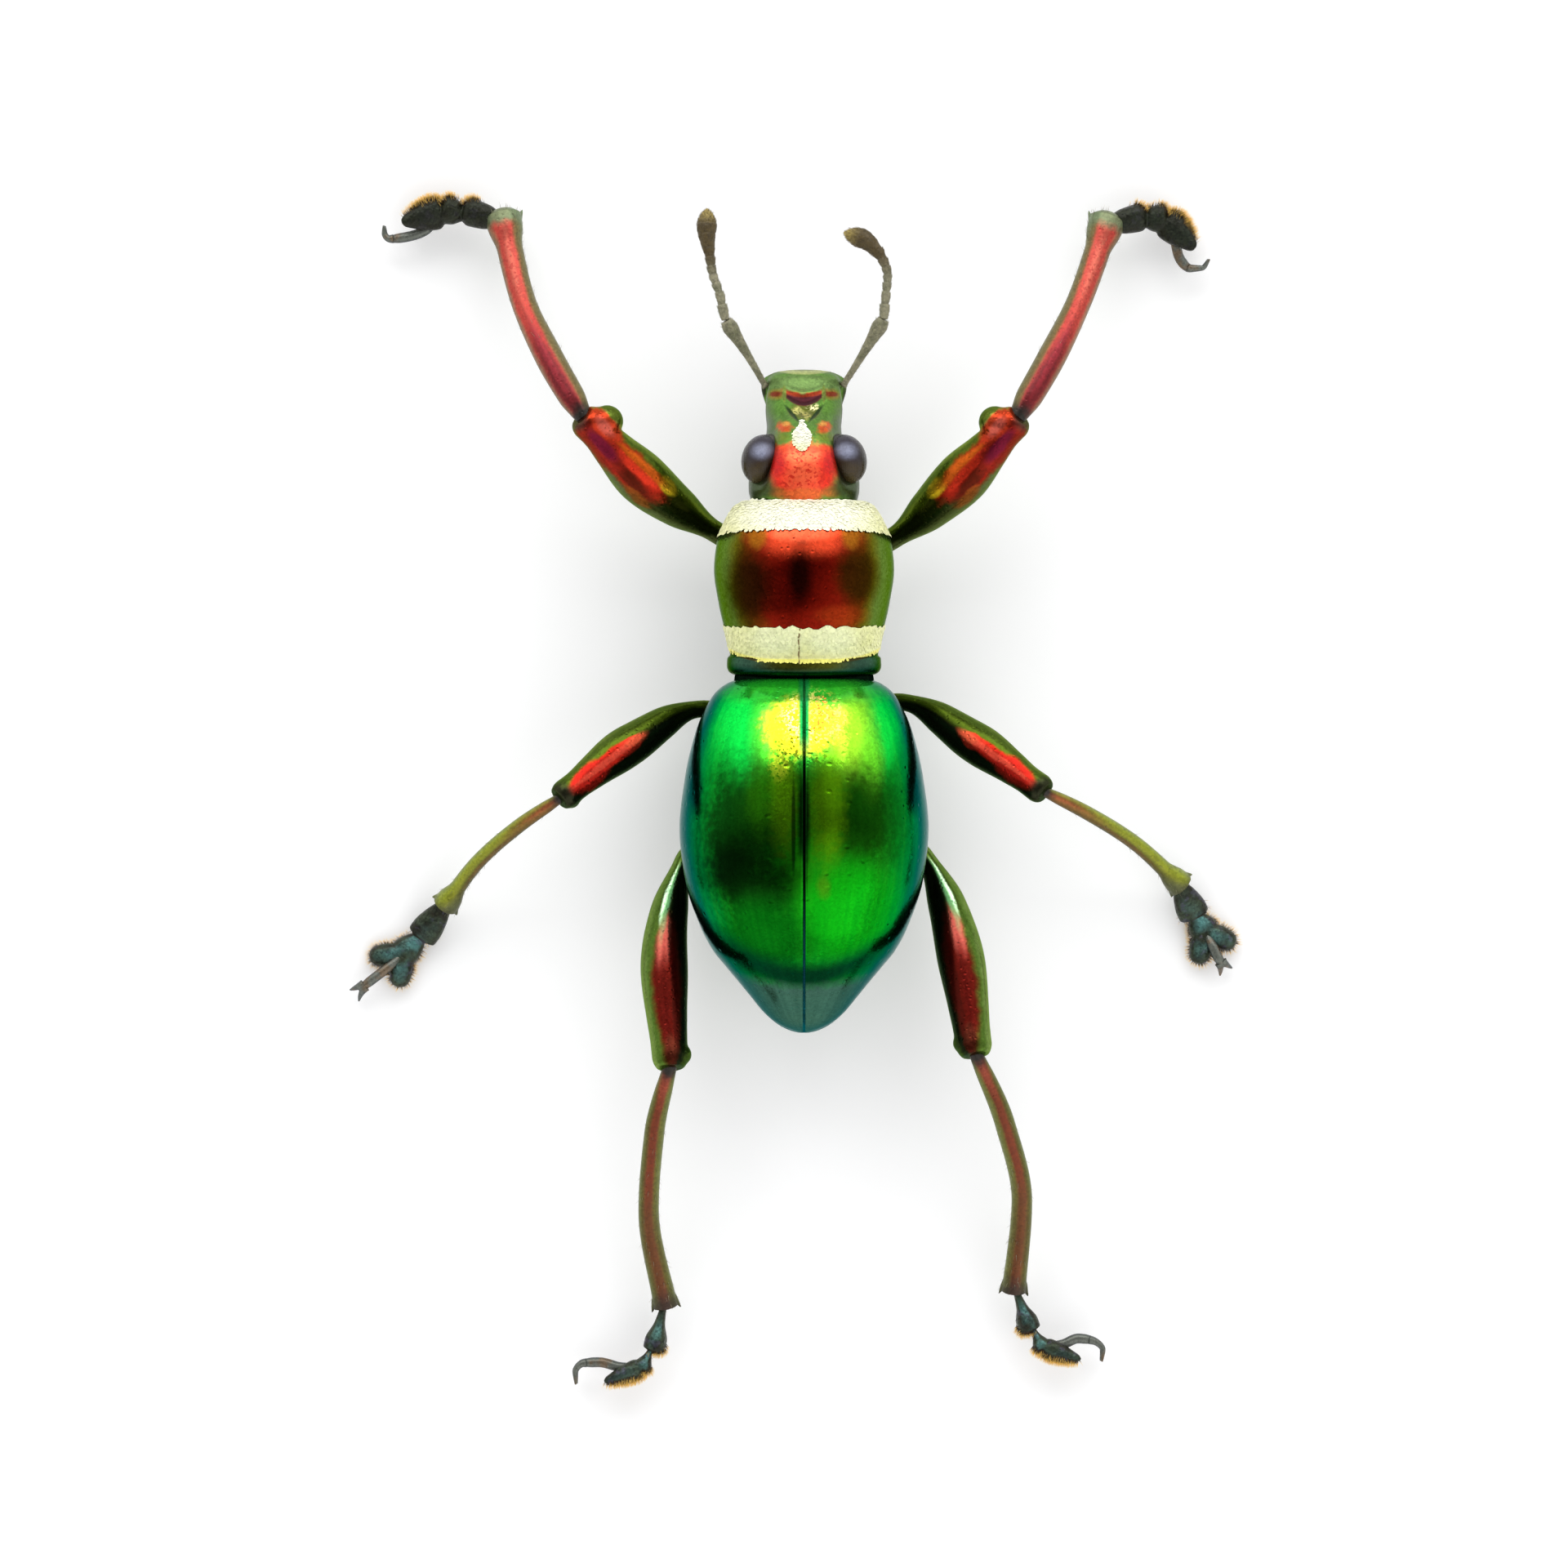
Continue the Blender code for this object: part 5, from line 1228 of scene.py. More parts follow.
TIBIA_PAINTS = {
    "front": LimbPaint(
        # Coral middle: partly the shin's own red, partly a painted reflection of the light along its top
        ((0.0, (0.16, 0.12, 0.05)), (0.10, (0.30, 0.12, 0.06)), (0.20, (0.48, 0.045, 0.03)),
         (0.66, (0.44, 0.04, 0.03)), (0.78, (0.17, 0.11, 0.035)), (1.0, (0.15, 0.14, 0.05))),
        (band(-0.2, 0.44, -0.80, 0.45, (0.14, 0.008, 0.012), 0.95, 0.5),
         band(0.10, 0.50, -0.35, 0.05, (0.30, 0.02, 0.03), 0.7, 0.5),
         band(0.48, 1.02, -0.62, 0.48, (0.42, 0.052, 0.034), 0.9, 0.5),
         # Brighter pink along the top: painted highlight
         band(0.60, 0.94, -0.35, 0.15, (0.50, 0.12, 0.075), 0.5, 0.5, 1.2, 0.0, 0.4),
         band(0.88, 1.20, 0.62, 2.2, (0.15, 0.20, 0.09), 0.95),
         band(0.945, 1.25, -2.2, 2.2, (0.15, 0.20, 0.10), 0.95, 0.15), KNEE)),
    "middle": LimbPaint(
        ((0.0, (0.07, 0.07, 0.015)), (0.24, (0.10, 0.10, 0.012)), (0.46, (0.20, 0.21, 0.012)),
         (0.76, (0.27, 0.31, 0.02)), (1.0, (0.18, 0.22, 0.05))),
        (band(-0.2, 0.36, -0.9, 0.7, (0.20, 0.080, 0.018), 0.9, 0.6),
         band(-0.2, 0.22, -0.3, 0.3, (0.34, 0.080, 0.025), 0.7, 0.6),
         band(0.30, 0.80, -0.9, -0.4, (0.16, 0.07, 0.015), 0.6, 0.5),
         band(0.90, 1.20, -1.8, 0.2, (0.09, 0.10, 0.04), 0.8),
         band(0.97, 1.20, -1.8, 1.8, (0.05, 0.05, 0.02), 0.8), KNEE)),
    "hind": LimbPaint(
        ((0.0, (0.12, 0.15, 0.03)), (0.20, (0.10, 0.08, 0.012)), (0.36, (0.16, 0.030, 0.008)),
         (0.62, (0.15, 0.028, 0.008)), (0.76, (0.11, 0.10, 0.014)), (1.0, (0.16, 0.19, 0.05))),
        (band(-0.2, 0.13, -0.8, 0.6, (0.32, 0.06, 0.03), 0.9, 0.5),
         band(0.55, 0.95, -0.9, 0.9, (0.10, 0.055, 0.014), 0.5, 0.5),
         band(0.94, 1.20, -1.8, 1.8, (0.035, 0.025, 0.018), 0.9), KNEE)),
}


# Where the front feet end and where the feelers' clubs start
FRONT_FEET, CLUBS = (-9.5, -9.0), (-9.7, -9.0)


def tarsus_colour(nodes, place, random):
    """Nearly black foot joints, with turquoise and violet highlights on the middle and hind feet."""
    colour = mottled(nodes, place, 3.0, (0.014, 0.013, 0.006), (0.030, 0.042, 0.022))
    top = nodes.between(place["Up"], 0.76, 1.0)
    patchy = nodes.between(nodes.noise(place["Place"], 2.0), 0.30, 0.62)
    teal = nodes.times(nodes.times(top, patchy), nodes.value_of("sheen"))
    colour = nodes.mix(teal, colour, (0.13, 0.36, 0.34))
    violet = nodes.between(nodes.noise(place["Place"], 4.5), 0.58, 0.66)
    colour = nodes.mix(nodes.times(violet, 0.35), colour, (0.07, 0.06, 0.11))
    colour = nodes.mix(nodes.times(nodes.below(place["Y"], *FRONT_FEET), 0.75), colour, (0.010, 0.010, 0.004))
    return brightened(nodes, colour, random, 0.8), nodes.noise(place["Place"], 14.0), 0.02


def fuzz_colour(nodes, place, random):
    """Brown roots and golden tips of the soles' hairs."""
    tip = nodes.between(nodes.split(nodes.vector_of("leaf"))[2], 0.20, 0.65)
    colour = nodes.mix(tip, (0.05, 0.022, 0.004), (0.95, 0.60, 0.13))
    return brightened(nodes, colour, random, 0.4), nodes.noise(place["Place"], 8.0), 0.002


def down_colour(nodes, place, random):
    """Pale hairs on the feelers, brown on their clubs."""
    colour = nodes.mix(nodes.below(place["Y"], *CLUBS), (0.34, 0.33, 0.24), (0.11, 0.075, 0.02))
    return brightened(nodes, colour, random, 0.4), nodes.noise(place["Place"], 8.0), 0.002


def claw_colour(nodes, place, random):
    """Dark slate claws with brown patches and lighter yellowish upper sides, a painted highlight."""
    # Lighter upper sides: painted highlight
    edge = nodes.between(place["Up"], 0.3, 0.9)
    colour = nodes.mix(nodes.times(edge, 0.7), (0.035, 0.045, 0.045), (0.15, 0.16, 0.13))
    brown = nodes.between(nodes.noise(place["Place"], 2.5), 0.5, 0.65)
    colour = nodes.mix(nodes.times(brown, 0.6), colour, (0.16, 0.085, 0.03))
    return brightened(nodes, colour, random, 0.3), nodes.noise(place["Place"], 8.0), 0.01


def feeler_colour(nodes, place, random):
    """Olive grey feelers, brown on the club, with a yellowish tip."""
    colour = mottled(nodes, place, 3.0, (0.13, 0.13, 0.065), (0.26, 0.24, 0.15), 0.3, 0.7)
    club = nodes.below(place["Y"], *CLUBS)
    colour = nodes.mix(club, colour, (0.070, 0.046, 0.011))
    tip = nodes.times(club, nodes.between(nodes.value_of("along"), 0.78, 1.0))
    colour = nodes.mix(tip, colour, (0.36, 0.27, 0.06))
    return brightened(nodes, colour, random, 0.5), nodes.noise(place["Place"], 18.0), 0.02


def plain_colour(first, second, scale=6.0):
    """A function that mottles two colours."""
    def colour_of(nodes, place, random):
        colour = mottled(nodes, place, scale, first, second, 0.3, 0.7)
        return brightened(nodes, colour, random, 0.3), nodes.noise(place["Place"], scale), 0.004
    return colour_of


# Where facets lean more, and where the surface is less metallic
GOLD_SPARKLE = Stroke((0.11, 1.18, 5.0), (0.90, 0.65, 2.0), (0, 0, 0), 0.15, 0.35)
SHOULDER_WAX = Stroke((0.0, 0.12, 4.3), (1.70, 0.42, 2.0), (0, 0, 0), 0.45, 0.5)
FOREHEAD_WAX = Stroke((0.05, -4.72, 3.9), (0.90, 0.72, 2.0), (0, 0, 0), 0.30, 0.3)
FOREHEAD_SPARKLE = Stroke((0.0, -5.00, 3.7), (0.9, 1.3, 2.0), (0, 0, 0), 0.03, 0.3)


# Tint of the grazing highlights
EDGE_GREEN = {"Specular Tint": (0.42, 0.64, 0.64, 1)}
EDGE_OLIVE = {"Specular Tint": (0.45, 0.60, 0.30, 1)}


def make_materials():
    """Every material of the animal, by name."""
    for make in (make_place_group, make_glitter_group, make_patch_group, make_pits_group):
        make()
    limb = Finish(0.24, 0.8, fixed=EDGE_OLIVE)
    shin = Finish(0.34, 0.6, 0.05, 0.08)
    paints = {
        "elytra": (elytra_colour, Finish(0.17, 1.0, 0.045, 0.03, GOLD_SPARKLE, EDGE_GREEN, SHOULDER_WAX)),
        "pronotum": (pronotum_colour, Finish(0.26, 1.0, 0.05, 0.02, None, EDGE_OLIVE)),
        "head": (head_colour, Finish(0.32, 0.8, 0.05, 0.05, FOREHEAD_SPARKLE, waxy=FOREHEAD_WAX)),
        "underside": (underside_colour, Finish(0.34, 0.8, 0.07, 0.15)),
        "scales": (scale_colour, Finish(0.55, 0.0, 0.07, 0.1, None, {"Sheen Weight": 0.2})),
        "eye": (eye_colour, Finish(0.25, 0.0, 0.045, 0.03, None,
                                   {"Specular IOR Level": 0.2, "Coat Weight": 0.08, "Coat Roughness": 0.12})),
        "tarsus": (tarsus_colour, Finish(0.36, 0.4, 0.05, 0.2, None, {"Specular IOR Level": 0.3})),
        "claw": (claw_colour, Finish(0.28, 0.3)),
        "feeler": (feeler_colour, Finish(0.48, 0.1, 0.05, 0.2)),
        "pad": (fuzz_colour, Finish(0.6)),
        "down": (down_colour, Finish(0.6)),
        "hair": (plain_colour((0.14, 0.12, 0.06), (0.32, 0.30, 0.19)), Finish(0.5)),
        "groove": (plain_colour((0.003, 0.008, 0.005), (0.006, 0.014, 0.008)),
                   Finish(0.6, 1.0, fixed={"Specular Tint": (0.1, 0.2, 0.15, 1)})),
        "joint": (plain_colour((0.012, 0.012, 0.009), (0.045, 0.035, 0.025)), Finish(0.32, 0.2)),
    }
    paints.update({"femur_" + kind: (paint, limb) for kind, paint in FEMUR_PAINTS.items()})
    paints.update({"tibia_" + kind: (paint, shin) for kind, paint in TIBIA_PAINTS.items()})
    return {name: new_material(name, *paint) for name, paint in paints.items()}


def geometry_tree(name, sizes):
    """A Geometry Nodes tree with a geometry, named sizes, a seed and a material as its inputs."""
    tree = bpy.data.node_groups.new(name, "GeometryNodeTree")
    sockets = [("Geometry", "INPUT", "Geometry"), ("Geometry", "OUTPUT", "Geometry")]
    sockets += [(size, "INPUT", "Float") for size in sizes]
    for label, in_out, kind in (*sockets, ("Seed", "INPUT", "Int"), ("Material", "INPUT", "Material")):
        tree.interface.new_socket(label, in_out=in_out, socket_type="NodeSocket" + kind)
    nodes = Nodes(tree)
    return nodes, nodes.add("NodeGroupInput").outputs, nodes.add("NodeGroupOutput").inputs[0]


def named(nodes, name, kind="FLOAT_VECTOR"):
    """A named attribute inside a Geometry Nodes tree."""
    return nodes.add("GeometryNodeInputNamedAttribute", {"Name": name}, data_type=kind).outputs["Attribute"]


def random_vector(nodes, spread, seed):
    """A random vector of up to a given size along each axis."""
    inputs = {0: (-spread,) * 3, 1: (spread,) * 3, "Seed": seed}
    return nodes.add("FunctionNodeRandomValue", inputs, data_type="FLOAT_VECTOR").outputs[0]


def random_value(nodes, low, high, seed):
    """A random number between two others."""
    return nodes.add("FunctionNodeRandomValue", {2: low, 3: high, "Seed": seed}, data_type="FLOAT").outputs[1]


def bent_leaf(nodes, solid, bent, shape):
    """A scale or hair bent to its shape, with the places of its points from before stored for the bake map."""
    leaf = nodes.add("GeometryNodeSetPosition", {"Geometry": solid, "Position": bent}).outputs[0]
    return nodes.add("GeometryNodeStoreNamedAttribute", {"Geometry": leaf, "Name": "leaf", "Value": shape},
                     data_type="FLOAT_VECTOR", domain="POINT").outputs[0]


def copies(nodes, spots, leaf, turned, size):
    """Real copies of a scale or hair on the spots."""
    placed = nodes.add("GeometryNodeInstanceOnPoints", {
        "Points": spots.outputs[0], "Instance": leaf, "Rotation": turned, "Scale": size}).outputs[0]
    return nodes.add("GeometryNodeRealizeInstances", {"Geometry": placed}).outputs[0]


def finish_tree(nodes, whole, material, end):
    """Ends a tree with its material."""
    finished = nodes.add("GeometryNodeSetMaterial", {"Geometry": whole, "Material": material})
    nodes.link(finished.outputs[0], end)
    return nodes.tree


# A scale: rise of its middle line, droop of its ends, root from its middle
SCALE_DOME, SCALE_DROOP, SCALE_ROOT = 0.12, -0.10, 0.8
# A hair: its bow, and its tip's share of its root's width
HAIR_BOW, HAIR_TIP = 1.5, 0.12
# Strays from the comb direction, and ranges of tilts and sizes
SCALE_STRAY, SCALE_TILTS, SCALE_SIZES = 0.35, (0.6, 1.4), (0.75, 1.15)
HAIR_STRAY, HAIR_SIZES = 0.22, (0.6, 1.2)
# More scales to a square millimetre than their spacing lets in
MOST_SCALES = 4000.0


def make_scale_tree():
    """Overlapping oval scales that lie over a sheet along its comb direction."""
    nodes, starts, end = geometry_tree("scales", ("Spacing", "Length", "Width", "Lift"))
    spots = nodes.add("GeometryNodeDistributePointsOnFaces", {
        "Mesh": starts["Geometry"], "Distance Min": starts["Spacing"], "Density Max": MOST_SCALES,
        "Seed": starts["Seed"]}, distribute_method="POISSON")
    disc = nodes.add("GeometryNodeMeshCircle", {"Vertices": 8, "Radius": 1.0}, fill_type="TRIANGLE_FAN")
    shape = nodes.add("GeometryNodeInputPosition").outputs[0]
    x, y, _ = nodes.split(shape)
    dome = nodes.times(nodes.minus(1.0, nodes.times(y, y)), SCALE_DOME)
    droop = nodes.times(nodes.times(x, x), SCALE_DROOP)
    bent = nodes.combine(nodes.plus(x, SCALE_ROOT), y, nodes.plus(dome, droop))
    leaf = bent_leaf(nodes, disc.outputs[0], bent, shape)
    turned = nodes.add("FunctionNodeAlignRotationToVector", {"Vector": spots.outputs["Normal"]}, axis="Z").outputs[0]
    lie = nodes.vector("ADD", named(nodes, "comb"), random_vector(nodes, SCALE_STRAY, starts["Seed"]))
    turned = nodes.add("FunctionNodeAlignRotationToVector", {"Rotation": turned, "Vector": lie}, axis="X",
                       pivot_axis="Z").outputs[0]
    tip = nodes.times(random_value(nodes, *SCALE_TILTS, starts["Seed"]), starts["Lift"])
    tilt = nodes.add("FunctionNodeEulerToRotation", {0: nodes.combine(y=nodes.times(tip, -1.0))}).outputs[0]
    turned = nodes.add("FunctionNodeRotateRotation", {"Rotation": turned, "Rotate By": tilt},
                       rotation_space="LOCAL").outputs[0]
    half_width = nodes.times(starts["Width"], 0.5)
    size = nodes.combine(nodes.times(starts["Length"], 0.5), half_width, half_width)
    size = nodes.scaled(size, random_value(nodes, *SCALE_SIZES, nodes.plus(starts["Seed"], 1)))
    both = nodes.add("GeometryNodeJoinGeometry")
    for geometry in (starts["Geometry"], copies(nodes, spots, leaf, turned, size)):
        nodes.link(geometry, both.inputs[0])
    return finish_tree(nodes, both.outputs[0], starts["Material"], end)


def make_hair_tree():
    """Fine tapered hairs that lean along the comb direction, denser where the hair value is high."""
    nodes, starts, end = geometry_tree("hairs", ("Density", "Length", "Thickness", "Lean"))
    amount = nodes.times(starts["Density"], named(nodes, "hair", "FLOAT"))
    spots = nodes.add("GeometryNodeDistributePointsOnFaces", {
        "Mesh": starts["Geometry"], "Density": amount, "Seed": starts["Seed"]}, distribute_method="RANDOM")
    cone = nodes.add("GeometryNodeMeshCone", {
        "Vertices": 4, "Side Segments": 3, "Radius Top": HAIR_TIP, "Radius Bottom": 1.0, "Depth": 1.0},
        fill_type="NGON")
    shape = nodes.add("GeometryNodeInputPosition").outputs[0]
    x, y, z = nodes.split(shape)
    bow = nodes.combine(nodes.plus(x, nodes.times(nodes.times(z, z), HAIR_BOW)), y, z)
    blade = bent_leaf(nodes, cone.outputs[0], bow, shape)
    upright = nodes.scaled(spots.outputs["Normal"], nodes.minus(1.0, starts["Lean"]))
    way = nodes.vector("ADD", upright, nodes.scaled(named(nodes, "comb"), starts["Lean"]))
    way = nodes.vector("ADD", way, random_vector(nodes, HAIR_STRAY, starts["Seed"]))
    turned = nodes.add("FunctionNodeAlignRotationToVector", {"Vector": way}, axis="Z").outputs[0]
    size = nodes.combine(starts["Thickness"], starts["Thickness"], starts["Length"])
    size = nodes.scaled(size, random_value(nodes, *HAIR_SIZES, nodes.plus(starts["Seed"], 1)))
    return finish_tree(nodes, copies(nodes, spots, blade, turned, size), starts["Material"], end)


# Size of a scale's or hair's own patch in the bake map
TUFT_PATCH = 0.003
# Scales of the bands and the spot, and the ways they lie
BAND_SCALES = {"spacing": 0.042, "length": 0.125, "width": 0.085, "lift": 0.16}
SPOT_SCALES = {"spacing": 0.036, "length": 0.10, "width": 0.07, "lift": 0.2}
BAND_COMB, SPOT_COMB = (0.0, 1.0, -0.2), (0.0, 1.0, 0.3)
# Hairs of the shins, of the soles and of the feelers, and the feelers' densities
SHIN_HAIRS = {"density": 55.0, "length": 0.13, "thickness": 0.004, "lean": 0.62}
SOLE_HAIRS = {"density": 2600.0, "length": 0.15, "thickness": 0.0045, "lean": 0.60}
FEELER_HAIRS = {"length": 0.055, "thickness": 0.0035, "lean": 0.7}
SCAPE_DENSITY, LASH_DENSITY = 300.0, 900.0
# Voxel size and smoothing rounds of each skin
HEAD_SKIN, FEMUR_SKIN, TIBIA_SKIN, FOOT_SKIN = (0.026, 5), (0.03, 16), (0.022, 4), (0.02, 2)


def grow(name, skin, tree, **values):
    """What a Geometry Nodes tree grows on a skin, as a plain mesh with its bake map."""
    modifier = skin.modifiers.new(name, "NODES")
    modifier.node_group = tree
    for item in tree.interface.items_tree:
        if item.in_out == "INPUT" and item.name.lower() in values:
            modifier[item.identifier] = values[item.name.lower()]
    mesh = evaluated_mesh(skin)
    skin.modifiers.remove(modifier)
    mesh.name = name
    made = linked(name, mesh)
    root, leaf = (vectors_of(mesh.attributes[key].data, "vector") for key in ("root", "leaf"))
    flat = (root + leaf * TUFT_PATCH / 2)[:, :2]
    corners = np.empty(len(mesh.loops), int)
    mesh.loops.foreach_get("vertex_index", corners)
    mesh.uv_layers.new(name="OFBake").data.foreach_set("uv", flat[corners].ravel())
    mesh.shade_smooth()
    return made


def keep(made, material, slot, *nodes):
    """Puts a finished piece in its place in the frame with its material, and hides the solids of the nodes it stands
    for; its slot is not used.
    """
    made.data.transform(Matrix.Translation(WAIST) @ Matrix.Scale(MM, 4))
    made.data.materials.clear()
    made.data.materials.append(material)
    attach(made, "root")
    if nodes:
        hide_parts(*nodes)
    return made


def grow_scales(name, grid, comb, sizes, seed, tree, materials, slot):
    """A sheet of scales over a grid of points, kept as a piece of its own."""
    skin = sheet(name + "_skin", grid)
    add_values(skin, "comb", np.tile(comb, (grid.shape[0] * grid.shape[1], 1)))
    scales = grow(name, skin, tree, seed=seed, material=materials["scales"], **sizes)
    drop(skin)
    keep(scales, materials["scales"], slot)


def make_wing_cases(materials):
    """The two wing cases, grown together along a fine suture."""
    count, ring = CASES_GRID
    places = crowded_places(ELYTRA_ROWS[0][0], ELYTRA_ROWS[-1][0], count)
    halves = smooth([row[0] for row in ELYTRA_ROWS], [[row[1]] for row in ELYTRA_ROWS], places)[:, 0]
    fine = SUTURE_COLUMNS[None, :] * np.minimum(1, halves / SUTURE_FULL_HALF)[:, None]
    lean = np.arcsin((fine / halves[:, None]) ** (ELYTRA_POWERS[0] / 2))
    base = np.broadcast_to(even_angles(ring), (count, ring))
    top = math.pi / 2
    angles = np.sort(np.concatenate((base, top - lean, top + lean), axis=1), axis=1)
    rings = body_rings(ELYTRA_ROWS, places, angles, ELYTRA_POWERS)
    x, z = rings[..., 0], rings[..., 2]
    over = np.sin(angles) > 0
    rings[..., 2] = z - np.where(over, SUTURE_DEPTH * np.exp(-(x / SUTURE_HALF) ** 2), 0)
    level, half, depth = SIDE_LINE
    line = np.exp(-((z - EDGE_LEVEL - level) / half) ** 2) * depth
    rings[..., 0] = x - np.sign(x) * line
    made = tube("wing_cases", rings)
    turn = (angles + math.pi / 2) / (2 * math.pi)
    made.data.attributes["turn"].data.foreach_set("value", np.append(turn.ravel(), (0.5, 0.5)).astype(np.float32))
    keep(made, materials["elytra"], "elytra", "elytra")


def prothorax_rings(places, angles, lift=0.0):
    """Rings of the front body, whose rear edge is further forward at its sides."""
    rings = body_rings(PRONOTUM_ROWS, places, angles, PRONOTUM_POWERS, lift)
    share = np.clip((np.asarray(places, float) - SWEEP_START) / SWEEP_LENGTH, 0, 1)[:, None]
    rings[..., 1] -= REAR_SWEEP * share ** 2 * (3 - 2 * share) * (rings[..., 0] / SWEEP_HALF) ** 2
    return rings


def make_prothorax(materials):
    """The front body with its rolled rims."""
    places = np.unique(np.concatenate([np.linspace(*run) for run in PRONOTUM_RUNS]))
    made = tube("prothorax", prothorax_rings(places, even_angles(PRONOTUM_RING)))
    keep(made, materials["pronotum"], "pronotum", "pronotum")


def make_band(name, edges, sweeps, seed, materials, tree):
    """A pale band of scales round the back and sides of the prothorax, with ragged edges."""
    rows, count = BAND_GRID
    spread = np.linspace(-1, 1, count)
    angles = math.pi / 2 + spread * BAND_HALF_ANGLE
    rng = np.random.default_rng(seed)
    knots = np.arange(0, count + FRAY_STEP, FRAY_STEP)
    ragged = [np.interp(np.arange(count), knots, rng.normal(0, fray, len(knots))) for fray in BAND_FRAY]
    pinch = np.clip((np.abs(spread) - PINCH_START) / PINCH_LENGTH, 0, 1) ** 2 * PINCH_DEPTH
    front, rear = (edge + back * np.abs(spread) ** BAND_SWEEP_POWER + fray * (NECK_FRAY if edge < NECK_EDGE else 1.0)
                   for edge, back, fray in zip(edges, sweeps, ragged))
    front, rear = front + (rear - front) * pinch, rear + (front - rear) * pinch
    grid = np.empty((rows, count, 3))
    for row, share in enumerate(np.linspace(0, 1, rows)):
        places = front + (rear - front) * share
        order = np.argsort(places)
        rings = prothorax_rings(places[order], angles, BAND_LIFT)
        grid[row, order] = rings[np.arange(count), order]
    grow_scales(name, grid, BAND_COMB, BAND_SCALES, seed, tree, materials, "pronotum")


def make_head(materials):
    """Skull and snout as one skin with its hollows and swellings, and the jaws under its tip."""
    count, ring = HEAD_GRID
    rows = np.asarray(HEAD_ROWS)
    steps = np.linalg.norm(np.diff(rows[:, :2], axis=0), axis=1)
    keys = np.concatenate(([0.0], np.cumsum(steps)))
    stations = smooth(keys, rows, np.linspace(0, keys[-1], count))
    path = np.column_stack((np.zeros(count), stations[:, :2]))
    skull = sweep("skull", path, stations[:, 2], stations[:, 3], sides=ring, power=2.2)
    tilt = Matrix.Rotation(SNOUT_PITCH, 4, "X")
    made = melted("skull", [skull, ball("lip", LIP_CENTRE, LIP_RADII, tilt)], *HEAD_SKIN)
    places, facing = points_of(made), normals_of(made)
    offset = np.zeros(len(places))
    for middle, reach, height, bend, slant in SKULL_RELIEF:
        for sign in (1, -1) if middle[0] else (1,):
            offset += height * hill(places, (middle[0] * sign, *middle[1:]), reach, bend, slant * sign)
    move_points(made, places + facing * offset[:, None])
    keep(made, materials["head"], "head", "head")
    for side in SIDES:
        turn = tilt @ Matrix.Rotation(side_sign(side) * JAW_TURN, 4, "Z")
        jaw = ball("jaw_" + side, on_side(JAW_CENTRE, side), JAW_RADII, turn)
        keep(jaw, materials["joint"], "head")
    return made


def make_head_spot(materials, tree, skull):
    """The pale teardrop of scales on the forehead, laid over the skull."""
    rows, count = SPOT_GRID
    halves = profile(SPOT_SHARES, SPOT_HALVES, rows)
    grid = np.empty((rows, count, 3))
    inverse = Matrix.Scale(1 / MM, 4) @ Matrix.Translation(-WAIST)
    for row, share in enumerate(np.linspace(0, 1, rows)):
        y = SPOT_FRONT + SPOT_LENGTH * share
        for column, across in enumerate(np.linspace(-1, 1, count)):
            above = Vector((SPOT_MIDDLE + halves[row] * across, y, ABOVE_ALL)) * MM + WAIST
            _, where, _, _ = skull.ray_cast(above, Vector((0, 0, -1)))
            place = inverse @ where
            grid[row, column] = (place.x, place.y, place.z + BAND_LIFT)
    grow_scales("forehead_spot", grid, SPOT_COMB, SPOT_SCALES, SEED, tree, materials, "head")


def make_eyes(materials):
    """Bulging oval eyes with a dark rim."""
    for side in SIDES:
        turn = Matrix.Rotation(EYE_YAW * side_sign(side), 4, "Z")
        centre = on_side(EYE_CENTRE, side)
        eye = ball("eyeball_" + side, centre, EYE_RADII, turn, 5)
        keep(eye, materials["eye"], "eye", "eye_" + side)
        inward = centre - on_side(EYE_RIM_OFFSET, side)
        rim = ball("eye_rim_" + side, inward, np.array(EYE_RADII) * EYE_RIM_STRETCH, turn)
        keep(rim, materials["joint"], "head")


def under_body_rows(places, bellies):
    """Rows of the body under the wing cases, with its width taken from theirs."""
    cases = np.asarray(ELYTRA_ROWS)
    halves = smooth(cases[:, 0], cases[:, 1:2], np.clip(places, cases[0, 0], cases[-1, 0]))[:, 0] * UNDER_WIDTH
    tops = np.full(len(places), EDGE_LEVEL + UNDER_TOP)
    return np.column_stack((places, halves, tops, tops - UNDER_SHOULDER, bellies))


def make_underside(materials):
    """Waist, hind chest and belly plates."""
    places = np.linspace(*CHEST_ROWS)
    rows = under_body_rows(places, BELLY_LEVEL + CHEST_RISE * np.exp(-(places - places[0]) / CHEST_RISE_LENGTH))
    rings = body_rings(rows, np.linspace(*CHEST_RINGS), even_angles(UNDER_RING), UNDER_POWERS)
    chest = tube("hind_chest", rings)
    places = points_of(chest)
    half, depth = CHEST_GROOVE
    groove = np.exp(-(places[:, 0] / half) ** 2) * (places[:, 2] < CHEST_GROOVE_TOP) * depth
    move_points(chest, places + np.outer(groove, UP))
    keep(chest, materials["underside"], "underside", "metathorax")
    places = np.linspace(*BELLY_ROWS)
    start, end = BELLY_ROWS[:2]
    rows = under_body_rows(places, BELLY_LEVEL + BELLY_RISE * ((places - start) / (end - start)) ** 2)
    at = np.linspace(*BELLY_RINGS)
    rings = body_rings(rows, at, even_angles(UNDER_RING), UNDER_POWERS)
    half, depth = BELLY_GROOVE
    inset = sum(np.exp(-((at - seam) / half) ** 2) for seam in BELLY_SEAMS)[:, None] * depth
    rings[..., 2] += np.where(rings[..., 2] < EDGE_LEVEL, inset, 0)
    keep(tube("belly", rings), materials["underside"], "underside", "abdomen")
    at = np.linspace(WAIST_ROWS[0][0], WAIST_ROWS[-1][0], WAIST_RINGS)
    rings = body_rings(WAIST_ROWS, at, even_angles(UNDER_RING), WAIST_POWERS)
    keep(tube("waist_ring", rings), materials["groove"], "underside")


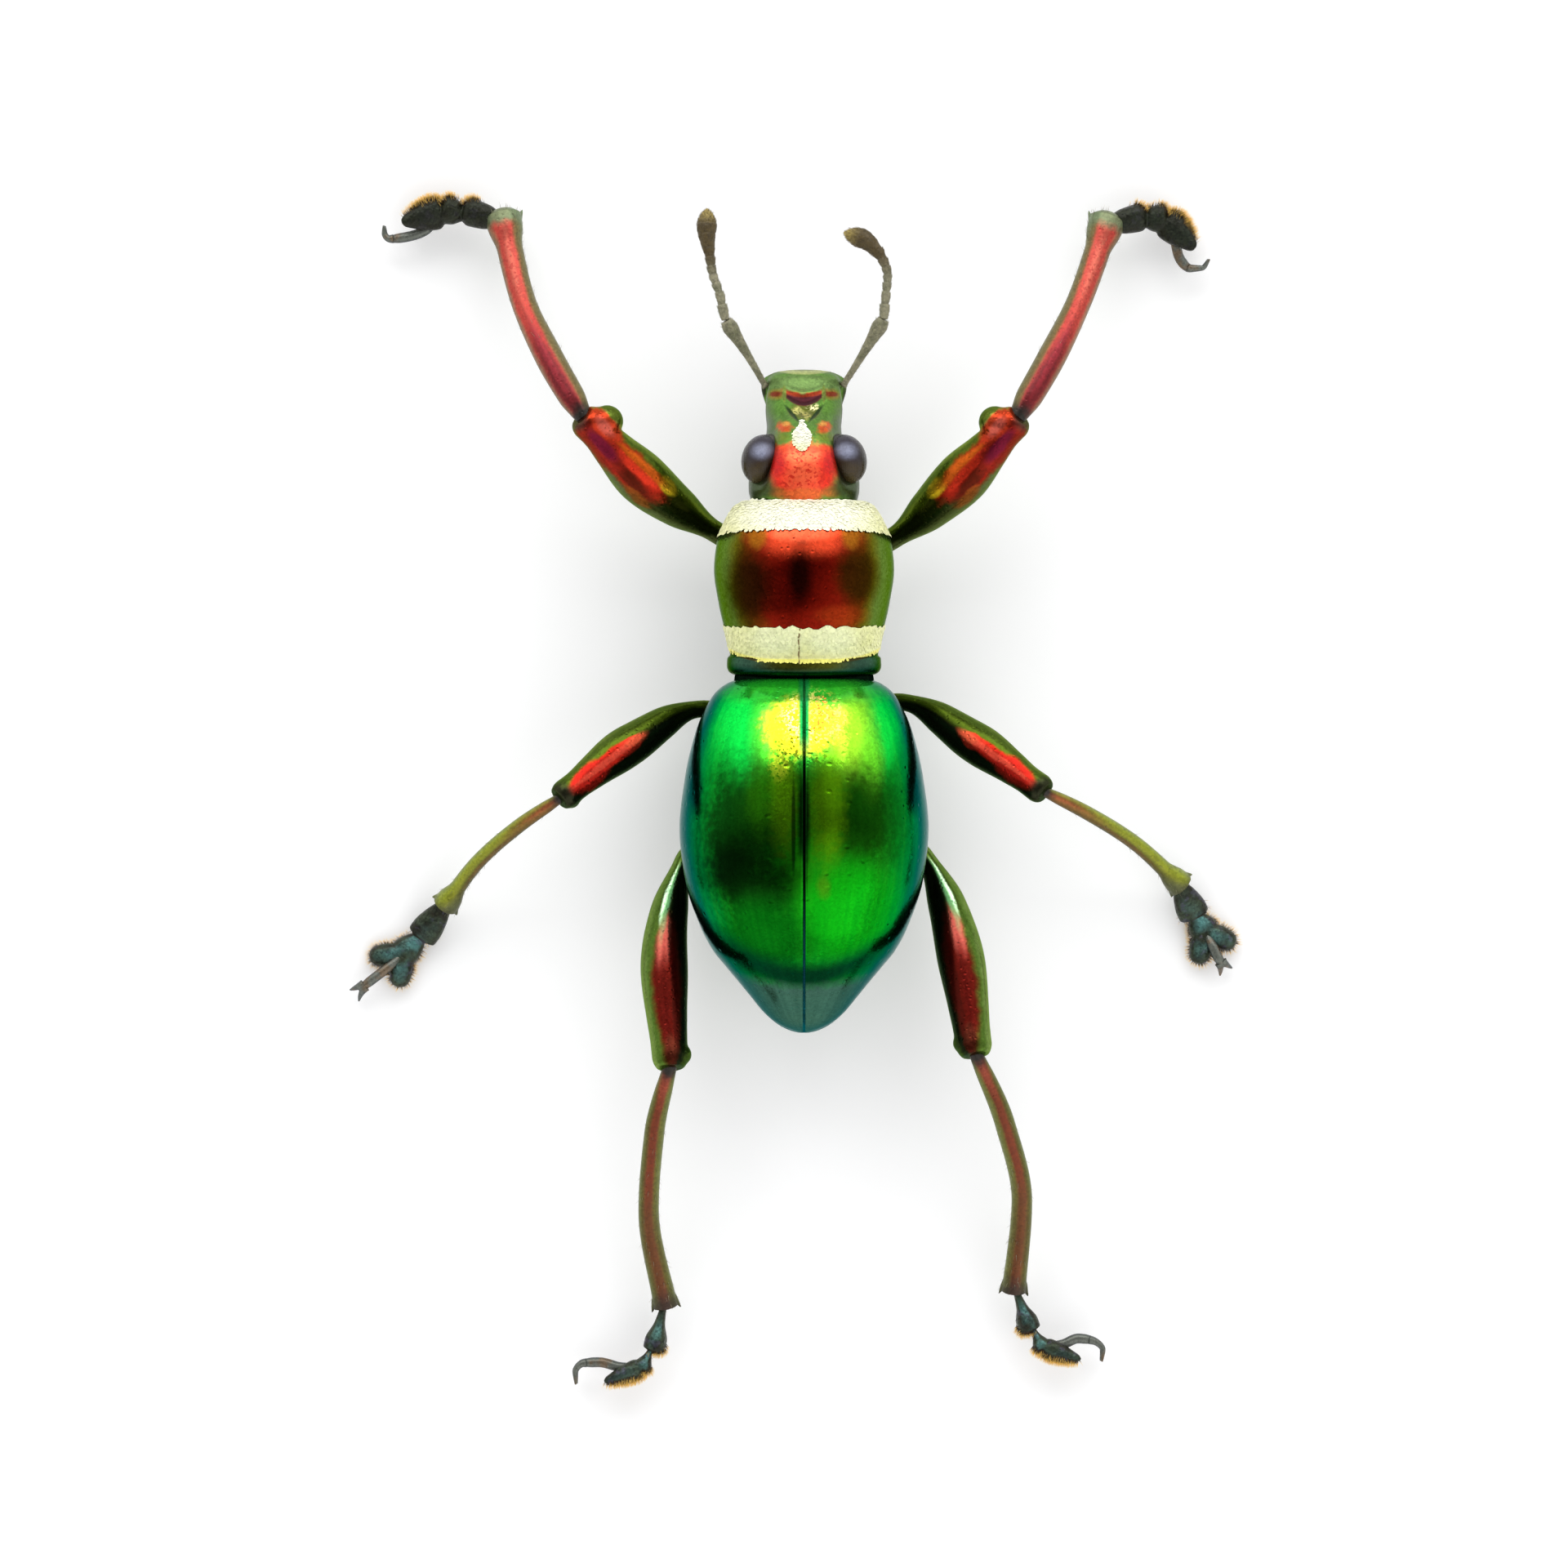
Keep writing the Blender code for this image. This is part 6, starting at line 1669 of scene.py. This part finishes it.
def leg_part(pose, part):
    """The name of a part of a leg, as in the solids."""
    return "leg_" + pose.kind + "_" + pose.side + "_" + part


def femur_path(pose):
    """Evenly spaced points along a thigh."""
    return along_route(on_side(pose.femur, pose.side), FEMUR_POINTS)


def make_femur(pose, materials):
    """Hip, thigh and the knob beside the knee, melted into one skin."""
    kind = LEG_KINDS[pose.kind]
    path = femur_path(pose)
    halves = profile(FEMUR_SHARES, kind.femur_profile, len(path)) * kind.femur_half
    knob = on_side(pose.knob, pose.side)
    first, second = RING_PLACES
    parts = [
        sweep("thigh", path, halves, halves * FEMUR_DEPTH, sides=40),
        ball("hip", path[0], kind.coxa_radii),
        ball("ring", path[first] * 0.5 + path[second] * 0.5, (kind.femur_half * RING_SHARE,) * 3),
        ball("knob", knob, (kind.knob_radius,) * 3),
        ball("knob_root", (knob + path[KNOB_PLACE]) / 2, (kind.knob_radius * KNOB_ROOT_SHARE,) * 3),
    ]
    name = leg_part(pose, "femur")
    made = melted(name + "_skin", parts, *FEMUR_SKIN)
    mark_along(made, path, halves, on_side(kind.femur_front, pose.side))
    keep(made, materials["femur_" + pose.kind], "femur", name)


def tibia_path(pose):
    """Evenly spaced points along a shin, from inside the knee to the ankle."""
    femur = on_side(pose.femur, pose.side)
    start = femur[-1] + unit(femur[-2] - femur[-1]) * INSIDE
    return along_route([start, *on_side(pose.tibia, pose.side)], TIBIA_POINTS)


def make_tibia(pose, materials, hair_tree):
    """The shin with its flared tip, spurs and fine hairs, and the dark knee."""
    kind = LEG_KINDS[pose.kind]
    path = tibia_path(pose)
    shares = (*kind.tibia_profile, kind.tibia_flare * FLARE_START, kind.tibia_flare)
    halves = profile(TIBIA_SHARES, shares, len(path)) * kind.tibia_half
    ahead = unit(path[-1] - path[-4])
    across = unit(np.cross(ahead, UP))
    inward = across * -math.copysign(1, across[0] * side_sign(pose.side))
    edge = kind.tibia_half * kind.tibia_flare
    sizes = SPUR_HALF * np.linspace(*SPUR_TAPER) ** SPUR_TAPER_POWER
    parts = [sweep("shin", path, halves, halves * TIBIA_DEPTH, sides=36)]
    for side in (1, -1)[:kind.spurs]:
        root = path[-1] + inward * side * edge * SPUR_ROOT[0] - ahead * kind.spur_length * SPUR_ROOT[1]
        tip = path[-1] + inward * side * (edge + SPUR_HALF * SPUR_TIP[0]) + ahead * kind.spur_length * SPUR_TIP[1]
        parts.append(sweep("spur", np.linspace(root, tip, len(sizes)), sizes, sizes, sides=12))
    if pose.kind == "front":
        turn = Vector(ahead).to_track_quat("Z", "Y").to_matrix().to_4x4()
        parts.append(ball("cap", path[-1] - ahead * CAP_BACK, CAP_RADII, turn))
    name = leg_part(pose, "tibia")
    made = melted(name + "_skin", parts, *TIBIA_SKIN)
    mark_along(made, path, halves, on_side(kind.tibia_front, pose.side))
    along = np.empty(len(made.data.vertices))
    made.data.attributes["along"].data.foreach_get("value", along)
    inner = np.clip(normals_of(made) @ inward, 0, 1)
    add_values(made, "hair", np.clip((along - SHIN_HAIR_START) * SHIN_HAIR_RISE, 0, 1) * (SHIN_HAIR_LEAST + inner))
    hairs = grow(name + "_hairs", made, hair_tree, seed=SEED, material=materials["hair"], **SHIN_HAIRS)
    keep(made, materials["tibia_" + pose.kind], "tibia", name)
    keep(hairs, materials["hair"], "tibia")


def foot_joint(name, start, end, sole, shares, size):
    """One foot joint: a narrow root and a broad tip that leans toward the sole."""
    wide, deep = size
    path = np.linspace(start, end, FOOT_POINTS)
    shape = profile(JOINT_SHARES, shares, FOOT_POINTS)
    lean = np.linspace(-0.3, 1, FOOT_POINTS)[:, None] * sole * deep * 0.3
    return sweep(name, path + lean, shape * wide, shape * deep, up=sole, sides=32, power=2.4)


def near(places, middle, reach, power):
    """How near places are to a middle: 1 there, and fading over a reach."""
    return np.exp(-(np.linalg.norm(places - middle, axis=1) / reach) ** power)


def make_foot(pose, materials, hair_tree):
    """Two foot joints, the forked pad, the claw stem with its claws, and the golden hairs of the sole."""
    kind = LEG_KINDS[pose.kind]
    joints, pad_tip, claw, sole = (on_side(points, pose.side)
                                   for points in (pose.joints, pose.pad_tip, pose.claw, pose.sole))
    sole = unit(sole)
    ankle = tibia_path(pose)
    start = ankle[-1] - unit(ankle[-1] - ankle[-4]) * INSIDE
    first_seam = joints[0] + (joints[1] - joints[0]) * FIRST_JOINT_SEAM
    second_seam = joints[1] + (joints[1] - joints[0]) * SECOND_JOINT_SEAM
    ahead = unit(joints[1] - joints[0])
    pad_way = unit(pad_tip - second_seam)
    across = unit(np.cross(pad_way, sole))
    parts = [foot_joint("first", start, first_seam, sole, kind.joint_profile, kind.joints[0]),
             foot_joint("second", first_seam - ahead * JOINT_OVERLAP, second_seam, sole, kind.joint_profile,
                        kind.joints[1])]
    lobe_wide, lobe_deep = kind.lobe
    for turn in (-1, 1):
        way = pad_way * math.cos(kind.lobe_spread) + across * turn * math.sin(kind.lobe_spread)
        root = second_seam - way * LOBE_OVERLAP
        path = np.linspace(root, root + way * kind.lobe_length, FOOT_POINTS)
        path += np.linspace(0, 1, FOOT_POINTS)[:, None] * sole * lobe_deep * LOBE_SINK
        shape = profile(LOBE_SHARES, kind.lobe_profile, FOOT_POINTS)
        parts.append(sweep("lobe", path, shape * lobe_wide, shape * lobe_deep, up=sole, sides=28))
    name = leg_part(pose, "tarsus")
    foot = melted(name + "_skin", parts, *FOOT_SKIN)
    places, facing = points_of(foot), normals_of(foot)
    start_angle, pad_reach, to_sole = kind.fringe
    soles = ((first_seam - ahead * 0.16 + sole * kind.joints[0][1], FRINGE_REACHES[0]),
             (second_seam - ahead * 0.14 + sole * kind.joints[1][1], FRINGE_REACHES[1]),
             (pad_tip - pad_way * 0.35 + sole * lobe_deep, pad_reach))
    hair = sum(near(places, middle, reach, 4) for middle, reach in soles)
    add_values(foot, "hair", np.clip(hair, 0, 1) * np.clip((facing @ sole - start_angle) * FRINGE_RISE, 0, 1))
    tops = (joints[0], joints[1], pad_tip - pad_way * 0.45)
    bright = [strength * near(places, middle, reach, 2)
              for strength, middle, reach in zip(kind.sheen, tops, SHEEN_REACHES)]
    add_values(foot, "sheen", np.max(bright, axis=0))
    comb = np.tile(sole * to_sole + pad_way * 0.35, (len(places), 1)) + facing * (1.05 - to_sole)
    add_values(foot, "comb", comb)
    add_values(foot, "root", np.stack((places @ ahead % 1, places @ across % 1, np.zeros(len(places))), axis=-1))
    hairs = grow(name + "_fringe", foot, hair_tree, seed=SEED, material=materials["pad"], **SOLE_HAIRS)
    stand_on_floor(foot)
    stand_on_floor(hairs)
    keep(foot, materials["tarsus"], "tarsus", name)
    keep(hairs, materials["pad"], "tarsus")
    make_claws(pose.kind + "_" + pose.side, second_seam, claw, sole, kind.claw_spread, materials)


def make_claws(name, root, claw, sole, spread, materials):
    """The curved claw stem and its two hooked claws, which carry on its curve."""
    whole = along_route([root, *claw], CLAW_POINTS)
    bend = int(np.argmin(np.linalg.norm(whole - claw[2], axis=1)))
    stem = whole[:bend + 4]
    halves = profile(np.linspace(0, 1, len(STEM_PROFILE)), STEM_PROFILE, len(stem)) * STEM_HALF
    parts = [sweep("stem", stem, halves, halves, up=sole, sides=18)]
    hook = whole[bend - 3:]
    across = unit(np.cross(unit(claw[2] - claw[1]), sole))
    share = np.linspace(0, 1, len(hook))
    sizes = CLAW_HALF * (1 - share * 0.9) ** 0.7
    for turn in (-1, 1):
        path = hook + across * (turn * (CLAW_HALF * 0.5 + spread * share ** 1.5))[:, None]
        parts.append(sweep("claw", path, sizes, sizes, up=sole, sides=12))
    made = joined("claws_" + name, parts)
    stand_on_floor(made)
    keep(made, materials["claw"], "tarsus")


def make_feeler(side, materials, hair_tree):
    """A bent feeler: long scape, seven beads and a pointed club of three rings, all finely haired."""
    scape_path = along_route(on_side(SCAPE_ROUTES[side], side), SCAPE_POINTS)
    halves = profile(SCAPE_SHARES, SCAPE_HALVES, SCAPE_POINTS)
    scape = sweep("feeler_" + side + "_scape", scape_path, halves, halves, sides=24)
    mark_along(scape, scape_path, halves, UP, up=(0, 1, 0))
    lash_path = along_route(on_side(FUNICLE_ROUTES[side], side), LASH_POINTS)
    ends = np.concatenate(([0.0], np.cumsum(FUNICLE_LENGTHS))) / sum(FUNICLE_LENGTHS)
    beads = []
    for first, last, half in zip(ends[:-1], ends[1:], FUNICLE_HALVES):
        low, high = int(first * (LASH_POINTS - 1)), int(last * (LASH_POINTS - 1))
        path = lash_path[max(low - 2, 0):high + 1]
        wide = profile(BEAD_SHARES, BEAD_PROFILE, len(path)) * half
        beads.append(sweep("bead", path, wide, wide, sides=20))
    club_path = along_route(on_side(CLUB_ROUTES[side], side), CLUB_POINTS)
    share = np.linspace(0, 1, CLUB_POINTS)
    rings = sum(np.exp(-((share - at) / CLUB_RING_HALF) ** 2) for at in CLUB_RINGS)
    wide = profile(CLUB_SHARES, CLUB_HALVES, CLUB_POINTS) - rings * CLUB_RING_DEPTH
    beads.append(sweep("club", club_path, wide, wide, sides=28))
    lash = joined("feeler_" + side + "_lash", beads)
    whole = np.vstack((lash_path[::3], club_path[10:]))
    mark_along(lash, whole, np.full(len(whole), FUNICLE_HALVES[0]), UP, up=(0, 1, 0))
    for piece, node, density in ((scape, "_scape", SCAPE_DENSITY), (lash, "_funicle", LASH_DENSITY)):
        add_values(piece, "hair", np.ones(len(piece.data.vertices)))
        hairs = grow(piece.name + "_hairs", piece, hair_tree, seed=SEED, material=materials["down"],
                     density=density, **FEELER_HAIRS)
        keep(hairs, materials["down"], "antenna")
        keep(piece, materials["feeler"], "antenna", "antenna_" + side + node)


# Brightness of the studio from the floor's level to straight above
SKY_STOPS = ((0.0, (0.96, 0.96, 0.96)), (0.45, (0.88, 0.88, 0.88)), (0.80, (0.40, 0.40, 0.41)),
             (1.0, (0.28, 0.28, 0.29)))
# Bright parts of the studio's wall: degrees from the front and above the floor, reach, and added brightness
GLOWS = (
    (218, 44, 42, 0.88),
    (150, 26, 30, 0.60),
    (318, 36, 38, 0.50),
    (46, 36, 38, 0.50),
)
# The soft window at the front: degrees from the front and above the floor, width, height and brightness
WINDOW = (0, 34, 0.40, 0.24, 2.0)
WINDOW_DISTANCE = 0.35
# The floor's own glow and half size, and the camera's range, in metres
FLOOR_GLOW, FLOOR_SIZE = 0.16, 1.5
CAMERA_NEAR, CAMERA_FAR = 0.01, 10


def toward(azimuth, elevation):
    """The direction at an angle from the animal's front, counted toward its left, and above the floor."""
    turn, rise = math.radians(azimuth), math.radians(elevation)
    return Vector((math.sin(turn) * math.cos(rise), -math.cos(turn) * math.cos(rise), math.sin(rise)))


def make_stage():
    """A plain pale floor, soft light and the camera straight above."""
    bm = bmesh.new()
    bmesh.ops.create_grid(bm, x_segments=1, y_segments=1, size=FLOOR_SIZE)
    floor = linked("floor", smooth_mesh(bm, "floor"))
    paper = bpy.data.materials.new("paper")
    paper.use_nodes = True
    Nodes(paper.node_tree).set_inputs(paper.node_tree.nodes["Principled BSDF"], {
        "Base Color": (0.90, 0.90, 0.90, 1), "Roughness": 0.9,
        "Emission Color": (1, 1, 1, 1), "Emission Strength": FLOOR_GLOW})
    floor.data.materials.append(paper)

    world = bpy.data.worlds.new("studio")
    world.use_nodes = True
    nodes = Nodes(world.node_tree)
    way = nodes.add("ShaderNodeTexCoord").outputs["Generated"]
    light = nodes.ramp(nodes.split(way)[2], SKY_STOPS)
    for azimuth, elevation, reach, brightness in GLOWS:
        close = nodes.vector("DOT_PRODUCT", way, tuple(toward(azimuth, elevation)))
        glow = nodes.between(close, math.cos(math.radians(reach)), math.cos(math.radians(reach * 0.4)))
        glow = nodes.times(glow, brightness)
        light = nodes.mix(1.0, light, nodes.combine(glow, glow, glow), "ADD")
    nodes.link(light, world.node_tree.nodes["Background"].inputs["Color"])
    bpy.context.scene.world = world
    add_window(*WINDOW)
    add_camera()
    bpy.context.scene.view_settings.view_transform = "Standard"


def add_window(azimuth, elevation, width, height, brightness):
    """A soft rectangular light that looks at the animal."""
    way = toward(azimuth, elevation)
    light = bpy.data.lights.new("window", "AREA")
    light.shape = "RECTANGLE"
    light.size = width
    light.size_y = height
    light.energy = brightness * width * height * math.pi
    holder = linked("window", light)
    holder.location = WAIST + way * WINDOW_DISTANCE
    holder.rotation_mode = "QUATERNION"
    holder.rotation_quaternion = (-way).to_track_quat("-Z", "Y")


def add_camera():
    """The camera straight above, with the head at the top of its frame."""
    camera = bpy.data.cameras.new("camera")
    camera.lens = LENS
    camera.sensor_width = SENSOR
    camera.clip_start = CAMERA_NEAR
    camera.clip_end = CAMERA_FAR
    holder = linked("camera", camera)
    distance = FRAME_WIDTH / SENSOR * LENS
    holder.location = WAIST + Vector((*FRAME_MIDDLE, OUTLINE_LEVEL + distance)) * MM
    holder.rotation_euler = (0, 0, math.pi)
    bpy.context.scene.camera = holder


def build():
    """Makes every piece."""
    materials = make_materials()
    scale_tree, hair_tree = make_scale_tree(), make_hair_tree()
    make_wing_cases(materials)
    make_prothorax(materials)
    make_band("band_front", BAND_FRONT, BAND_FRONT_SWEEP, SEED, materials, scale_tree)
    make_band("band_rear", BAND_REAR, BAND_REAR_SWEEP, SEED + 1, materials, scale_tree)
    skull = make_head(materials)
    make_head_spot(materials, scale_tree, skull)
    make_eyes(materials)
    make_underside(materials)
    for side in SIDES:
        make_feeler(side, materials, hair_tree)
    for pose in LEG_POSES:
        make_femur(pose, materials)
        make_tibia(pose, materials, hair_tree)
        make_foot(pose, materials, hair_tree)
    make_stage()


build()
